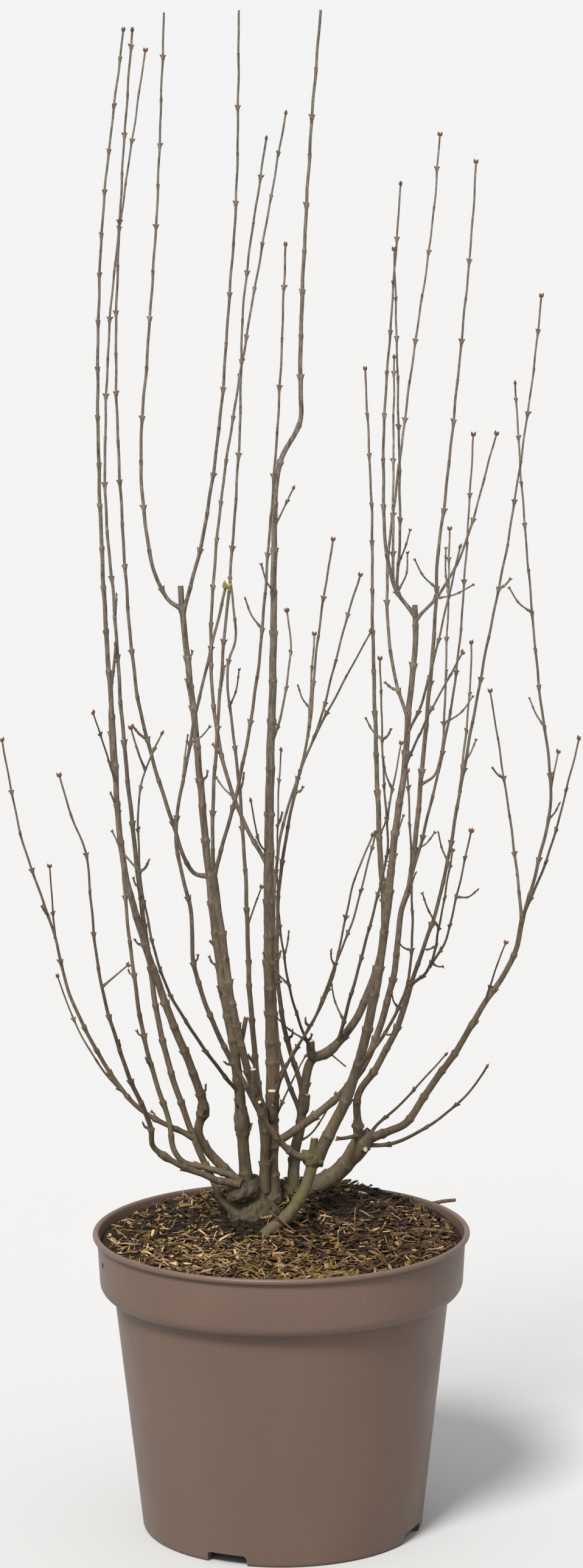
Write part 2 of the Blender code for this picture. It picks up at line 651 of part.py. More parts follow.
def mass_of(name, paths):
    """The limb whose mass of twigs this limb is fused with, or None for a bough's foot."""
    row = LIMBS[name]
    if row.parent not in LIMBS:
        return None
    if not is_bough(row.parent):
        return mass_of(row.parent, paths) or row.parent
    if LIMBS[row.parent].split is not None and row.foot >= LIMBS[row.parent].split:
        return row.parent
    return None


def limb_clearance_tree(paths):
    """Points along every limb, each with its limb's name and its radius there."""
    places = []
    for name, path in paths.items():
        last = len(path) - 1
        for i, point in enumerate(path):
            places.append((point, name, radius_at(LIMBS[name], i / last)))
    tree = kdtree.KDTree(len(places))
    for i, place in enumerate(places):
        tree.insert(place[0], i)
    tree.balance()
    return tree, places


def is_clear(points, own, tree, places):
    """Whether a twig keeps off every other limb and inside the crown's reach."""
    for point in points:
        if not REACH_LIMITS[0] < point.x < REACH_LIMITS[1] or point.z > TOP_LIMIT:
            return False
        for _, index, distance in tree.find_range(point, NEAR_LIMBS):
            _, name, radius = places[index]
            if name != own and distance < radius + TWIG_CLEARANCE:
                return False
    return True


def grow_twigs(name, start, rng, paths, tree, places):
    """Twigs at the nodes of one shoot, as lists of points.

    The nodes bear opposite pairs, each turned a quarter from the pair below, and only
    some of the buds have grown out.
    """
    path = paths[name]
    length = path_length(path)
    along = start * length + FIRST_NODE
    turn = rng.uniform(0, math.pi)
    twigs = []
    while along < length - LAST_NODE:
        share = along / length
        point = point_at(path, share)
        ahead = (point_at(path, share + 0.01) - point_at(path, share - 0.01)).normalized()
        side = ahead.cross(Vector((0, -1, 0.3))).normalized()
        for half in (0, math.pi):
            grows = rng.random() < TWIG_CHANCE and point.z < TWIG_TOP
            reach = rng.uniform(*TWIG_LENGTHS)
            lean = math.radians(rng.uniform(*TWIG_LEAN))
            if not grows:
                continue
            angle = turn + half
            out = side * math.cos(angle) + ahead.cross(side) * math.sin(angle)
            middle = point + (ahead * math.cos(lean) + out * math.sin(lean)) * reach * 0.5
            lean *= 0.6
            tip = middle + (ahead * math.cos(lean) + out * math.sin(lean)) * reach * 0.5
            if is_clear([middle, middle.lerp(tip, 0.5), tip], name, tree, places):
                twigs.append([point, middle, tip])
        along += INTERNODE * rng.uniform(0.85, 1.15)
        turn += math.pi / 2
    return twigs


def twig_tube(points):
    girths = [TWIG_GIRTH[0], TWIG_GIRTH[0] * 0.8, TWIG_GIRTH[1]]
    radii = [girth * MM for girth in girths]
    return new_object("twig", skin(tube_rings(points, radii, TWIG_SIDES)))


def make_bough(name, paths, material):
    """One tapering limb, from what carries it to where its mass of twigs begins."""
    end = split_share(LIMBS[name], paths[name])
    bough = limb_tube(name, paths, 0.0, end, STEM_STEP, STEM_SIDES)
    bough.data.materials.append(material)
    apply_boolean(bough, foot_sleeves(name, paths), "DIFFERENCE")
    keep_largest_body(bough)
    shade(bough)


def make_mass(name, members, paths, tree, places, material):
    """A mass of twigs: the limb above its split, the shoots it bears, and their twigs."""
    row = LIMBS[name]
    path = paths[name]
    start = split_share(row, path) if row.split is not None else 0.0
    foot = start + GAP / path_length(path) if row.split is not None else 0.0
    mass = limb_tube(name, paths, foot, 1.0, SHOOT_STEP, SHOOT_SIDES + 1)
    if row.split is not None:
        mass.name = name + "_twigs"
    mass.data.materials.append(material)
    rng = random.Random(TWIG_SEED + sorted(LIMBS).index(name))
    twigs = grow_twigs(name, start, rng, paths, tree, places)
    parts = []
    for member in members:
        parts.append(limb_tube(member, paths, 0.0, 1.0, SHOOT_STEP, SHOOT_SIDES))
        twigs += grow_twigs(member, 0.0, rng, paths, tree, places)
    parts += [twig_tube(points) for points in twigs if path_length(points) > TWIG_SHORTEST]
    if parts:
        apply_boolean(mass, parts, "UNION")
    if row.split is None:
        apply_boolean(mass, foot_sleeves(name, paths), "DIFFERENCE")
    keep_largest_body(mass)
    shade(mass)


def stand_over_origin():
    """Move the part level until the middle of its box is over the origin."""
    low = [1.0, 1.0]
    high = [-1.0, -1.0]
    for obj in bpy.data.objects:
        for vert in obj.data.vertices:
            for axis in (0, 1):
                low[axis] = min(low[axis], vert.co[axis])
                high[axis] = max(high[axis], vert.co[axis])
    shift = Vector((-(low[0] + high[0]) / 2, -(low[1] + high[1]) / 2, 0))
    for obj in bpy.data.objects:
        obj.data.transform(Matrix.Translation(shift))


def main():
    for obj in list(bpy.data.objects):
        bpy.data.objects.remove(obj)
    enter_left_limbs()
    enter_middle_limbs()
    enter_right_limbs()
    paths = {}
    for name in LIMBS:
        limb_path(name, paths)
    tree, places = limb_clearance_tree(paths)

    old_bark = plain_material("old bark", BARK_OLD, 0.85)
    young_bark = plain_material("young bark", BARK_YOUNG, 0.70)
    green_bark = plain_material("green bark", BARK_GREEN, 0.80)
    shade(make_pot(plain_material("pot plastic", POT_COLOUR, 0.55)))
    make_soil(plain_material("potting mix", SOIL_COLOUR, 0.95))
    shade(crown_body("root_crown", 0.0, old_bark))
    shade(green_body("green_stem", 0.0, green_bark))

    members = {}
    for name in LIMBS:
        owner = mass_of(name, paths)
        if owner is None:
            members.setdefault(name, [])
        else:
            members.setdefault(owner, []).append(name)
    for name, shoots in members.items():
        if is_bough(name):
            make_bough(name, paths, old_bark)
        if name != "trunk_right":
            make_mass(name, shoots, paths, tree, places, young_bark)
    stand_over_origin()


main()
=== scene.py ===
"""The looks of a lilac shrub in winter, leafless and in bud, in its nursery pot.

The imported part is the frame, and each of its solids is replaced here by a finer mesh in
the same place: bark with its relief, nodes, buds, cut ends and collars on every limb, the
short spurs, a mulched surface on the potting mix, and the moulded pot.

Limbs repeat the part's own table and rules. They are measured in millimetres from the
pot's axis and from the ground: a bend is (sideways, height), and the depth of the whole
limb follows from its foot and its tip.
"""

import json
import math
import random
from collections import namedtuple
from functools import lru_cache

import bmesh
import bpy
import numpy as np
from mathutils import Matrix, Vector, kdtree, noise

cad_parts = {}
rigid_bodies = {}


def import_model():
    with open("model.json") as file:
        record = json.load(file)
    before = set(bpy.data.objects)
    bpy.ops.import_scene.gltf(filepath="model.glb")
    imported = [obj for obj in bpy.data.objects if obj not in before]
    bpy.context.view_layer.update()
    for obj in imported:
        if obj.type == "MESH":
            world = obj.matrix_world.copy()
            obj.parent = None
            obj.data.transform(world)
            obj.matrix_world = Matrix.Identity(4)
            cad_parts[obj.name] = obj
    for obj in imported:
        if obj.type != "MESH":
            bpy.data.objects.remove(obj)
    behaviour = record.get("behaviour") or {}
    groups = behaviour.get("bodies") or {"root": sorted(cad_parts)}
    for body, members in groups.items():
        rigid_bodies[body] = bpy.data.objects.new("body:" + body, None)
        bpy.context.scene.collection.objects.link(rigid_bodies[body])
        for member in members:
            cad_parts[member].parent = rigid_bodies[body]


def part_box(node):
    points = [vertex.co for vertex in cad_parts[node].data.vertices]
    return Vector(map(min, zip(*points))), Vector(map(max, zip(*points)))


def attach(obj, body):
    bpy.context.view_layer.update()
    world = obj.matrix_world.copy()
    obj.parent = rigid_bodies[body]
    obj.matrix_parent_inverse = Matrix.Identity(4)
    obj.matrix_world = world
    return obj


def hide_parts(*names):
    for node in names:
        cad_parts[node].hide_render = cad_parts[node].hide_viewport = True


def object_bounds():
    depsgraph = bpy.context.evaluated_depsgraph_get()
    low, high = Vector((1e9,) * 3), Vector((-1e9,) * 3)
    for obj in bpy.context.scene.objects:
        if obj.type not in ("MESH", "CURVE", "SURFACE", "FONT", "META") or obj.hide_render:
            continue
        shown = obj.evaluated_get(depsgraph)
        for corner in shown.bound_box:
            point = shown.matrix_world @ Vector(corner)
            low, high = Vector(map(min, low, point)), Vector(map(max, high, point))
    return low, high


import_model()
cad_low, cad_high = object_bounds()
pot_low, pot_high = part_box("pot")
AXIS = Vector(((pot_low.x + pot_high.x) / 2, (pot_low.y + pot_high.y) / 2, 0))

MM = 0.001
GAP = 0.0003

# The pot, a turned plastic shell
POT_SIDES = 48
POT_HEIGHT = 0.2258
LIP_RADIUS = 0.1400
LIP_BEAD = 0.0022
BAND_TOP_RADIUS = 0.1366
BAND_FOOT_RADIUS = 0.1350
BAND_FOOT_HEIGHT = 0.1795
BAND_ROUNDING = 0.0095
BODY_TOP_RADIUS = 0.1245
BODY_FOOT_RADIUS = 0.1047
WALL = 0.0020
FOOT_CORNER = 0.0030
FOOT_RING_WIDTH = 0.0080
FLOOR_HEIGHT = 0.0090
FLOOR_THICKNESS = 0.0022
NOTCH_HEIGHT = 0.0080
NOTCH_WIDTH = 0.0310
NOTCH_COUNT = 4
NOTCH_TURN = math.radians(-113)  # direction of the first notch, front left
DRAIN_HOLE_RADIUS = 0.0060
DRAIN_HOLE_CIRCLE = 0.0700

# The filling, level near the wall and mounded round the root crown
SOIL_EDGE = 0.2168
MOUND_HEIGHT = 0.0210
MOUND_SPREAD = 0.0600
MOUND_CENTRE = (0.0150, 0.0650)

# The root crown: lumps of old wood on one flat cut at ground level
LUMP_SWELL = 1.4  # a faceted lump is flatter than its sphere, so its sleeve grows by more
CROWN_LUMPS = [  # centre and radii, in millimetres
    ((-24, 38, 237), (17, 20, 21)),
    ((-21, 25, 229), (19, 14, 15)),
    ((-24, 21, 250), (8, 8, 9)),
    ((-30, 22, 249), (9, 12, 11)),
    ((-8, 41, 236), (9, 12, 14)),
    ((-10, 58, 234), (11, 12, 15)),
    ((8, 54, 233), (11, 11, 14)),
    ((22, 60, 232), (12, 12, 12)),
    ((33, 64, 231), (11, 11, 11)),
]

# The mossy stem in front, which rises from the soil to a knuckle with a cut stub
GREEN_PATH = [(-20, -17, 211), (-8, -11, 228), (3, -8, 236), (14, -3, 250), (20, 3, 262), (24, 8, 277)]
GREEN_GIRTH = (4.9, 4.2)
KNUCKLE = ((24, 8, 277), (8, 8, 8))
STUB_PATH = [(24, 8, 277), (25, 8, 293)]
STUB_GIRTH = (3.4, 2.6)

CROWN_BOTTOM = 0.2215

# How limbs run and thin
DEPTH_EASE = 1.6   # a limb spreads early and stands steeper towards its tip
TAPER_EASE = 1.7   # it thins fast above its foot and slowly towards its tip
PATH_STEP = 0.003
SPAN_STEPS = 16

# How twigs branch: opposite pairs, each turned a quarter from the pair below
TWIG_SEED = 41
INTERNODE = 0.032
FIRST_NODE = 0.022
LAST_NODE = 0.012
TWIG_CHANCE = 0.11
TWIG_LENGTHS = (0.009, 0.036)
TWIG_LEAN = (36, 54)
TWIG_GIRTH = (0.62, 0.40)
TWIG_SHORTEST = 0.017  # shorter spurs are left to the surface model
TWIG_CLEARANCE = 0.0022
TWIG_TOP = 0.74           # the long whips above this height are unbranched
NEAR_LIMBS = 0.009        # how far round a twig other limbs are looked for
REACH_LIMITS = (-0.203, 0.219)
TOP_LIMIT = 1.119

# How the fine limbs are drawn
RING_STEP = 0.0030
NODE_RINGS = (-0.0024, -0.0010, 0.0, 0.0008, 0.0018)
TIP_BUD = 0.0032         # what terminal buds take of a limb's length
THICK_LIMB = 3.0         # foot radii in millimetres that decide the sides of a limb
MIDDLING_LIMB = 1.7
CROWN_FLARE = (0.30, 0.014)   # how much a foot swells, and along what length
FORK_FLARE = (0.55, 0.0035)
NODE_SWELL = 0.24
NODE_MOST = 0.00045
NODE_FUNNEL = 0.0028      # a shoot widens slowly up to a node and narrows at once above it
NODE_DROP = 0.0011
LEDGE_LENGTH = 0.0014
CUSHION = 0.00062        # the ledge under each bud
RIDGES = 0.030           # relief of old bark: a share of the radius, and metres
GRAIN = 0.00007
OLD_NODE_STEP = 0.021
SPUR_CHANCE = 0.12
SPUR_LENGTHS = (0.003, 0.007)
SPUR_KEPT = 0.55          # share of the short twigs that have lived
OLD_BUD = 0.75
WOBBLE = 0.00014
CUT_TIPS = {"leader_hooked", "leader_straight", "trunk_middle", "trunk_left", "stem_right", "trunk_right",
            "trunk_twin", "bough_low_right", "stem_inner_right"}
OPENING_TIP = "stem_crossing"
CLUSTER_TIPS = {"inner_right_side", "low_right_outer", "middle_side"}

# Buds: rings as (share of length, share of width), with a ledge where each scale ends
BUD_RINGS = [(0.0, 0.55), (0.14, 0.86), (0.32, 1.0), (0.46, 0.95), (0.49, 0.80), (0.66, 0.70),
             (0.69, 0.54), (0.86, 0.32), (1.0, 0.05)]
SIDE_BUD = (0.0024, 0.00078)
TIP_BUDS = (0.0038, 0.00118)
OPENING_BUD = (0.0058, 0.0018)

# Knotted swellings on old wood: limb, height, swelling and half its length in millimetres
BURRS = [("trunk_left", 300, 0.42, 8), ("trunk_middle", 286, 0.16, 9), ("stem_elbow", 343, 0.25, 7),
         ("trunk_right", 272, 0.22, 8), ("stem_tall_left", 305, 0.45, 6), ("stem_right", 330, 0.10, 6),
         ("stem_inner_right", 290, 0.30, 5), ("bough_low_left", 281, 0.35, 5)]

# Cut ends of branches, by limb and height: azimuth runs from the front towards the right,
# rise is above level, both in degrees; girth and length are in millimetres
Stub = namedtuple("Stub", "limb height azimuth rise girth length fresh")
STUBS = [
    Stub("trunk_middle", 298, 5, 86, 3.3, 26, True),
    Stub("trunk_twin", 322, -25, 84, 2.3, 21, True),
    Stub("trunk_left", 350, 50, 78, 1.7, 32, True),
    Stub("trunk_twin", 315, -10, 25, 1.3, 3, True),
    Stub("stem_elbow", 297, 50, 86, 2.2, 16, False),
    Stub("stem_elbow", 338, -30, 87, 3.2, 15, True),
    Stub("stem_elbow", 343, 75, -38, 0.6, 14, False),
    Stub("trunk_right", 270, 35, 15, 2.0, 5, True),
    Stub("stem_right", 470, -60, 55, 1.0, 7, False),
    Stub("trunk_left", 430, -70, 50, 1.0, 6, False),
    Stub("stem_back", 330, -75, 55, 1.2, 9, False),
    Stub("trunk_middle", 400, 80, 60, 1.1, 8, False),
]
LEAF_REMAINS = [("spray_front_right", 531, 80), ("stem_right", 505, -70), ("spray_front_left", 491, -60),
                ("bough_inner_left", 470, 150), ("stem_right_back", 620, 160)]
GREEN_BUD = ("trunk_middle", 313)

# Litter on the potting mix: what lies there, in millimetres from the pot's axis
SURFACE_RELIEF = 0.0016
HEAPS = [((20, 60), 13, 4.0), ((46, 70), 13, 3.0), ((0, 74), 10, 2.5)]
DARK_PATCHES = [((-26, 6), 27), ((44, 34), 22), ((66, 84), 26)]
CHIP_KINDS = {  # count, lengths, widths, home and its reach in millimetres, base colour
    "mulch_straw": (420, (3, 15), (0.5, 2.2), (-70, -35), 55, (0.40, 0.27, 0.145)),
    "mulch_tan": (900, (3, 17), (0.7, 3.4), (-10, -60), 90, (0.175, 0.105, 0.050)),
    "mulch_olive": (560, (3, 14), (0.7, 3.0), (10, -95), 60, (0.120, 0.078, 0.013)),
    "mulch_brown": (1100, (3, 16), (0.9, 4.4), (80, -10), 80, (0.062, 0.033, 0.015)),
    "mulch_dark": (1700, (2, 9), (1.0, 4.0), (30, 40), 90, (0.018, 0.011, 0.006)),
}
FIBRE_COUNT = 150
CLOD_COUNT = 1500
STALK_COUNT = 16
LOOSE_STICKS = [  # route, radius at both ends, all in millimetres
    ([(76, 8, 223), (96, 4, 223.5), (112, 6, 222.5), (127, 4, 221)], (2.1, 1.3)),
    ([(113, 76, 224), (123, 73, 227), (132, 69, 229)], (1.6, 1.3)),
    ([(-9, -16.5, 243.5), (3, -14.8, 233.5), (15, -11, 222)], (0.9, 0.7)),
    ([(-66, 30, 222), (-52, 48, 225), (-38, 60, 229)], (1.2, 0.8)),
    ([(118, -2, 223), (121, 16, 222)], (1.0, 0.7)),
]
BAND_MARK = (math.radians(-164), 0.2085)

# Colours of the finish
BARK_TONES = ((0.026, 0.016, 0.008), (0.068, 0.046, 0.026), (0.130, 0.095, 0.058))
# the crown's bark: a darker copy of the bark tones, painted shade for the shadowed root crown
CROWN_TONES_PAINTED_SHADE = ((0.012, 0.007, 0.0035), (0.036, 0.023, 0.012), (0.075, 0.053, 0.030))
# young bark: grey-brown middle tone, dark tone partly painted shade for shaded edges, light tone painted glints
YOUNG_TONES_WITH_PAINTED_LIGHT = ((0.042, 0.029, 0.019), (0.118, 0.091, 0.066), (0.270, 0.230, 0.185))
LENTICEL = (0.230, 0.180, 0.120)
ALGAE = (0.062, 0.054, 0.012)
BUD_BROWN = (0.115, 0.054, 0.027)
BUD_OPENING = (0.220, 0.190, 0.045)
CUT_FRESH = (0.52, 0.44, 0.32)
CUT_OLD = (0.20, 0.145, 0.09)
DEAD_LEAF = (0.045, 0.027, 0.017)
SOIL_DARK = (0.006, 0.0036, 0.002)
SOIL_LIGHT = (0.026, 0.0155, 0.0085)
POT_COLOUR = (0.104, 0.064, 0.0475)
FLOOR_COLOUR = (0.44, 0.44, 0.44)

# The camera, from the pot's axis
CAMERA_PLACE = Vector((0.0092, -3.0, 1.032))
CAMERA_PITCH = math.radians(8.94)
CAMERA_ROLL = math.radians(-0.28)
CAMERA_LENS = 95.5
SENSOR = 36.0
FLOOR_REACH = 60.0

# Light: the floor's colour is such that the lit floor and the world look the same
WORLD_STRENGTH = 0.90
KEY_STRENGTH = 4.75
KEY_SPREAD = math.radians(16)
KEY_FROM = Vector((-0.272, -0.583, 0.766))

Limb = namedtuple("Limb", "name parent foot depth girth bends split")
LIMBS = {}


def limb(name, parent, foot, depth, girth, bends, split=None):
    """Enter one limb: its foot is a place on the crown or a height on its parent.

    Depth is that of the tip, girth is the radius at foot and tip. Above the height
    called split, the limb belongs to the mass of twigs that it carries.
    """
    LIMBS[name] = Limb(name, parent, foot, depth, girth, bends, split)


def enter_left_limbs():
    limb("trunk_left", "root_crown", (-26, 27, 246), 43, (4.6, 2.2),
         [(-28, 283), (-33, 344), (-44, 412), (-54, 504), (-62, 599), (-69, 666), (-72, 704)], 662)
    limb("leader_hooked", "trunk_left", 684, 52, (1.5, 0.8),
         [(-81, 691), (-92, 716), (-100, 790), (-94, 877), (-87, 968), (-84, 1027), (-80, 1119)])
    limb("leader_straight", "trunk_left", 680, -30, (1.5, 0.8),
         [(-55, 737), (-41, 827), (-34, 909), (-28, 985), (-25, 1118)])
    limb("trunk_twin", "root_crown", (-13, 33, 246), 12, (3.6, 2.3),
         [(-13, 309), (-21, 330), (-34, 384), (-42, 443), (-49, 497)], 474)
    limb("leader_twin_left", "trunk_twin", 488, -15, (1.5, 0.8),
         [(-49, 526), (-40, 658), (-35, 707), (-27, 813), (-23, 913), (-6, 1029)])
    limb("leader_twin_right", "trunk_twin", 490, -80, (1.5, 0.8),
         [(-29, 563), (-15, 644), (-6, 743), (2, 847), (7, 956)])
    limb("leader_left", "trunk_left", 485, -55, (1.6, 0.8),
         [(-64, 488), (-79, 528), (-100, 608), (-106, 654), (-112, 766), (-114, 875), (-108, 996),
          (-99, 1104)])
    limb("spray_front_left", "trunk_left", 322, -120, (1.5, 0.7),
         [(-43, 340), (-82, 417), (-95, 478), (-99, 517), (-96, 580), (-80, 618)])
    limb("spray_front_left_side", "spray_front_left", 589, -135, (0.9, 0.6), [(-98, 603), (-103, 624)])
    limb("stem_tall_left", "root_crown", (-31, 48, 246), 20, (3.6, 0.8),
         [(-62, 287), (-58, 307), (-62, 324), (-88, 395), (-115, 492), (-122, 597), (-127, 688),
          (-130, 801), (-129, 891), (-124, 979), (-108, 1106)], 490)
    limb("tall_left_side", "stem_tall_left", 556, -12, (0.9, 0.6), [(-135, 617)])
    limb("stem_grey_left", "root_crown", (-36, 24, 232), 100, (2.6, 0.7),
         [(-46, 244), (-52, 258), (-58, 271), (-65, 287), (-87, 355), (-99, 428), (-110, 524),
          (-117, 601), (-122, 682), (-128, 763), (-124, 886), (-118, 944), (-95, 1093)], 500)
    limb("bough_outer_left", "stem_grey_left", 288, 10, (2.0, 0.7),
         [(-102, 308), (-120, 328), (-142, 367), (-156, 400), (-168, 451), (-189, 518), (-203, 595)], 404)
    limb("outer_left_side", "bough_outer_left", 443, -8, (0.8, 0.6), [(-168, 504)])
    limb("twig_outer_left", "bough_outer_left", 311, 62, (1.0, 0.6),
         [(-132, 336), (-153, 369), (-163, 393), (-168, 408)])
    limb("bough_low_left", "root_crown", (-31, 14, 256), -90, (2.6, 0.7),
         [(-38, 258), (-48, 260), (-57, 265), (-73, 272), (-94, 289), (-96, 307), (-112, 353),
          (-129, 424), (-135, 492), (-137, 523), (-146, 548), (-156, 584)], 416)
    limb("low_left_side", "bough_low_left", 421, -60, (0.9, 0.6), [(-107, 440)])
    limb("bough_inner_left", "root_crown", (-30, 18, 257), 70, (2.4, 0.8),
         [(-35, 261), (-44, 264), (-58, 268), (-73, 272), (-80, 281), (-83, 299), (-101, 359),
          (-114, 451), (-119, 518), (-126, 591), (-121, 658)], 445)


def enter_middle_limbs():
    limb("trunk_middle", "root_crown", (-7, 41, 240), 10, (5.8, 1.0),
         [(-8, 281), (-6, 325), (-8, 430), (-7, 546), (-4, 639), (-1, 776), (2, 794), (17, 824),
          (17, 846), (18, 899), (25, 1025), (33, 1119)], 484)
    limb("leader_middle", "trunk_middle", 493, 100, (1.6, 0.8),
         [(-30, 535), (-45, 588), (-50, 651), (-43, 752), (-23, 878), (-6, 971), (8, 1047)])
    limb("middle_low_side", "trunk_middle", 504, -5, (0.8, 0.6), [(-14, 512), (-21, 551)])
    limb("middle_side", "trunk_middle", 582, 90, (1.1, 0.7), [(2, 606), (8, 638), (9, 656), (6, 680)])
    limb("middle_high_side", "trunk_middle", 746, 12, (0.8, 0.6), [(13, 778)])
    limb("stem_back", "root_crown", (-10, 60, 246), 150, (2.8, 0.9),
         [(-23, 380), (-26, 466), (-31, 541), (-39, 628), (-33, 649), (-37, 698)], 424)
    limb("back_side", "stem_back", 433, 118, (0.8, 0.6), [(-13, 465)])
    limb("stem_crossing", "green_stem", (22, 6, 277), -125, (2.4, 1.0),
         [(8, 283), (-10, 307), (-25, 339), (-40, 370), (-55, 411), (-62, 440), (-63, 477), (-73, 535),
          (-70, 565), (-65, 590), (-56, 636), (-49, 664), (-35, 722)], 470)
    limb("spray_bowed", "trunk_middle", 302, -115, (1.5, 0.7),
         [(2, 345), (27, 400), (38, 435), (52, 476), (69, 546)])
    limb("spray_inner", "trunk_middle", 326, -85, (1.4, 0.7), [(13, 363), (36, 416), (54, 503), (68, 539)])
    limb("twig_straight", "trunk_middle", 294, 28, (1.0, 0.6), [(12, 338), (20, 353)])
    limb("stem_elbow", "root_crown", (9, 54, 240), 140, (4.2, 0.8),
         [(10, 268), (14, 284), (23, 336), (36, 343), (57, 367), (71, 399), (78, 424), (79, 446), (76, 492),
          (73, 583), (71, 674), (71, 738), (66, 857)], 446)
    limb("stem_centre", "stem_elbow", 312, 40, (2.0, 0.8),
         [(3, 364), (-2, 407), (0, 477), (10, 538), (22, 591), (29, 661), (41, 738)], 574)
    limb("centre_side", "stem_centre", 588, 75, (0.9, 0.7), [(27, 664)])
    limb("spray_back_centre", "stem_elbow", 296, 140, (1.8, 0.8),
         [(0, 338), (-5, 404), (-1, 492), (12, 540), (30, 585), (50, 659), (63, 701)])
    limb("back_centre_side", "spray_back_centre", 576, 112, (1.0, 0.7), [(45, 612), (71, 661)])
    limb("spray_thin", "stem_elbow", 338, -60, (1.2, 0.6), [(9, 393), (-1, 476), (0, 563), (2, 597)])
    limb("spray_elbow", "stem_elbow", 350, -40, (1.4, 0.7),
         [(52, 387), (68, 456), (79, 512), (76, 567), (73, 660)])
    limb("spray_elbow_side", "spray_elbow", 536, 5, (0.9, 0.6), [(90, 592)])
    limb("twig_elbow", "stem_elbow", 276, 66, (0.9, 0.6), [(23, 283), (43, 315)])


def enter_right_limbs():
    limb("stem_right_back", "trunk_middle", 279, 85, (3.1, 0.75),
         [(22, 299), (59, 334), (83, 398), (91, 455), (97, 476), (108, 576), (117, 680), (118, 712),
          (125, 770), (136, 875), (144, 960), (147, 1011)], 448)
    limb("right_back_outer", "stem_right_back", 456, 30, (1.3, 0.7),
         [(106, 510), (123, 586), (132, 646), (138, 727), (143, 815)])
    limb("right_back_inner", "stem_right_back", 549, 140, (1.0, 0.7), [(117, 557), (127, 651), (130, 736)])
    limb("stem_right", "green_stem", (27, 8, 278), -36, (4.4, 2.0),
         [(51, 331), (67, 392), (77, 457), (85, 535), (90, 567), (94, 619), (99, 675), (98, 698)], 566)
    limb("right_bowed_back", "stem_right", 612, 40, (1.3, 0.7),
         [(83, 647), (79, 711), (88, 789), (98, 863), (113, 963), (119, 1031)])
    limb("right_outer", "stem_right", 601, -90, (1.1, 0.7), [(102, 623), (112, 665), (129, 745)])
    limb("right_front", "stem_right", 576, -125, (1.1, 0.7), [(107, 625), (130, 674)])
    limb("right_leader", "stem_right", 687, -55, (1.5, 0.7),
         [(86, 704), (81, 717), (77, 741), (76, 824), (80, 885), (88, 997)])
    limb("right_leader_front", "right_leader", 706, -100, (1.1, 0.7), [(87, 743), (85, 848), (82, 953)])
    limb("right_leader_back", "right_leader", 712, 20, (1.1, 0.7), [(84, 801), (85, 872)])
    limb("right_fork", "stem_right", 684, -60, (1.2, 0.7),
         [(103, 689), (113, 700), (125, 720), (133, 738), (156, 822)])
    limb("spray_front_right", "stem_right", 345, -130, (1.5, 0.7),
         [(80, 388), (93, 430), (93, 529), (90, 592)])
    limb("trunk_right", "root_crown", (20, 61, 239), 61, (7.0, 6.0),
         [(41, 252), (54, 266), (62, 277), (71, 285)])
    limb("bough_low_right", "trunk_right", 278, 56, (3.2, 1.9),
         [(82, 285), (94, 291), (110, 315), (132, 347), (151, 380), (175, 420), (182, 452)], 438)
    limb("low_right_inner", "bough_low_right", 447, 110, (1.2, 0.7), [(177, 491), (171, 537), (159, 616)])
    limb("low_right_leader", "bough_low_right", 446, 50, (1.4, 0.7),
         [(193, 491), (202, 540), (192, 631), (179, 777), (174, 851)])
    limb("low_right_outer", "bough_low_right", 449, -10, (1.2, 0.7), [(199, 505), (212, 565), (219, 597)])
    limb("low_right_spur", "low_right_leader", 548, 70, (0.8, 0.6), [(209, 575)])
    limb("twig_low_right", "bough_low_right", 384, 15, (0.9, 0.6), [(162, 424), (168, 441)])
    limb("stem_inner_right", "trunk_right", 271, 32, (3.2, 2.2),
         [(58, 292), (58, 316), (72, 339), (88, 373), (98, 407)], 386)
    limb("inner_right_leader", "stem_inner_right", 400, -40, (1.6, 0.7),
         [(118, 472), (133, 558), (140, 600), (152, 669), (165, 738), (183, 867), (188, 918)])
    limb("inner_right_front", "stem_inner_right", 403, -110, (1.3, 0.7), [(109, 421), (116, 476), (123, 532)])
    limb("inner_right_side", "inner_right_front", 424, -70, (1.0, 0.7), [(120, 445), (129, 492), (138, 539)])
    limb("inner_right_back", "inner_right_leader", 553, 60, (1.0, 0.7), [(142, 628), (143, 659)])
    limb("spray_low_back", "trunk_right", 281, 105, (1.3, 0.7), [(73, 288), (89, 299), (128, 336)])
    limb("spray_low_front", "trunk_right", 274, 20, (1.7, 0.8),
         [(82, 275), (109, 291), (140, 322), (155, 346)])
    limb("twig_link", "stem_inner_right", 283, 34, (1.6, 1.4),
         [(52, 284), (46, 285), (40, 286)])


def smooth_curve(points):
    """Catmull-Rom through the points, by the roots of their distances."""
    if len(points) == 2:
        return [points[0].lerp(points[1], i / SPAN_STEPS) for i in range(SPAN_STEPS + 1)]
    ends = [2 * points[0] - points[1]] + points + [2 * points[-1] - points[-2]]
    curve = []
    for p0, p1, p2, p3 in zip(ends, ends[1:], ends[2:], ends[3:]):
        t1 = (p1 - p0).length ** 0.5
        t2 = t1 + (p2 - p1).length ** 0.5
        t3 = t2 + (p3 - p2).length ** 0.5
        for i in range(SPAN_STEPS):
            t = t1 + (t2 - t1) * i / SPAN_STEPS
            a1 = p0.lerp(p1, t / t1)
            a2 = p1.lerp(p2, (t - t1) / (t2 - t1))
            a3 = p2.lerp(p3, (t - t2) / (t3 - t2))
            b1 = a1.lerp(a2, t / t2)
            b2 = a2.lerp(a3, (t - t1) / (t3 - t1))
            curve.append(b1.lerp(b2, (t - t1) / (t2 - t1)))
    curve.append(points[-1])
    return curve


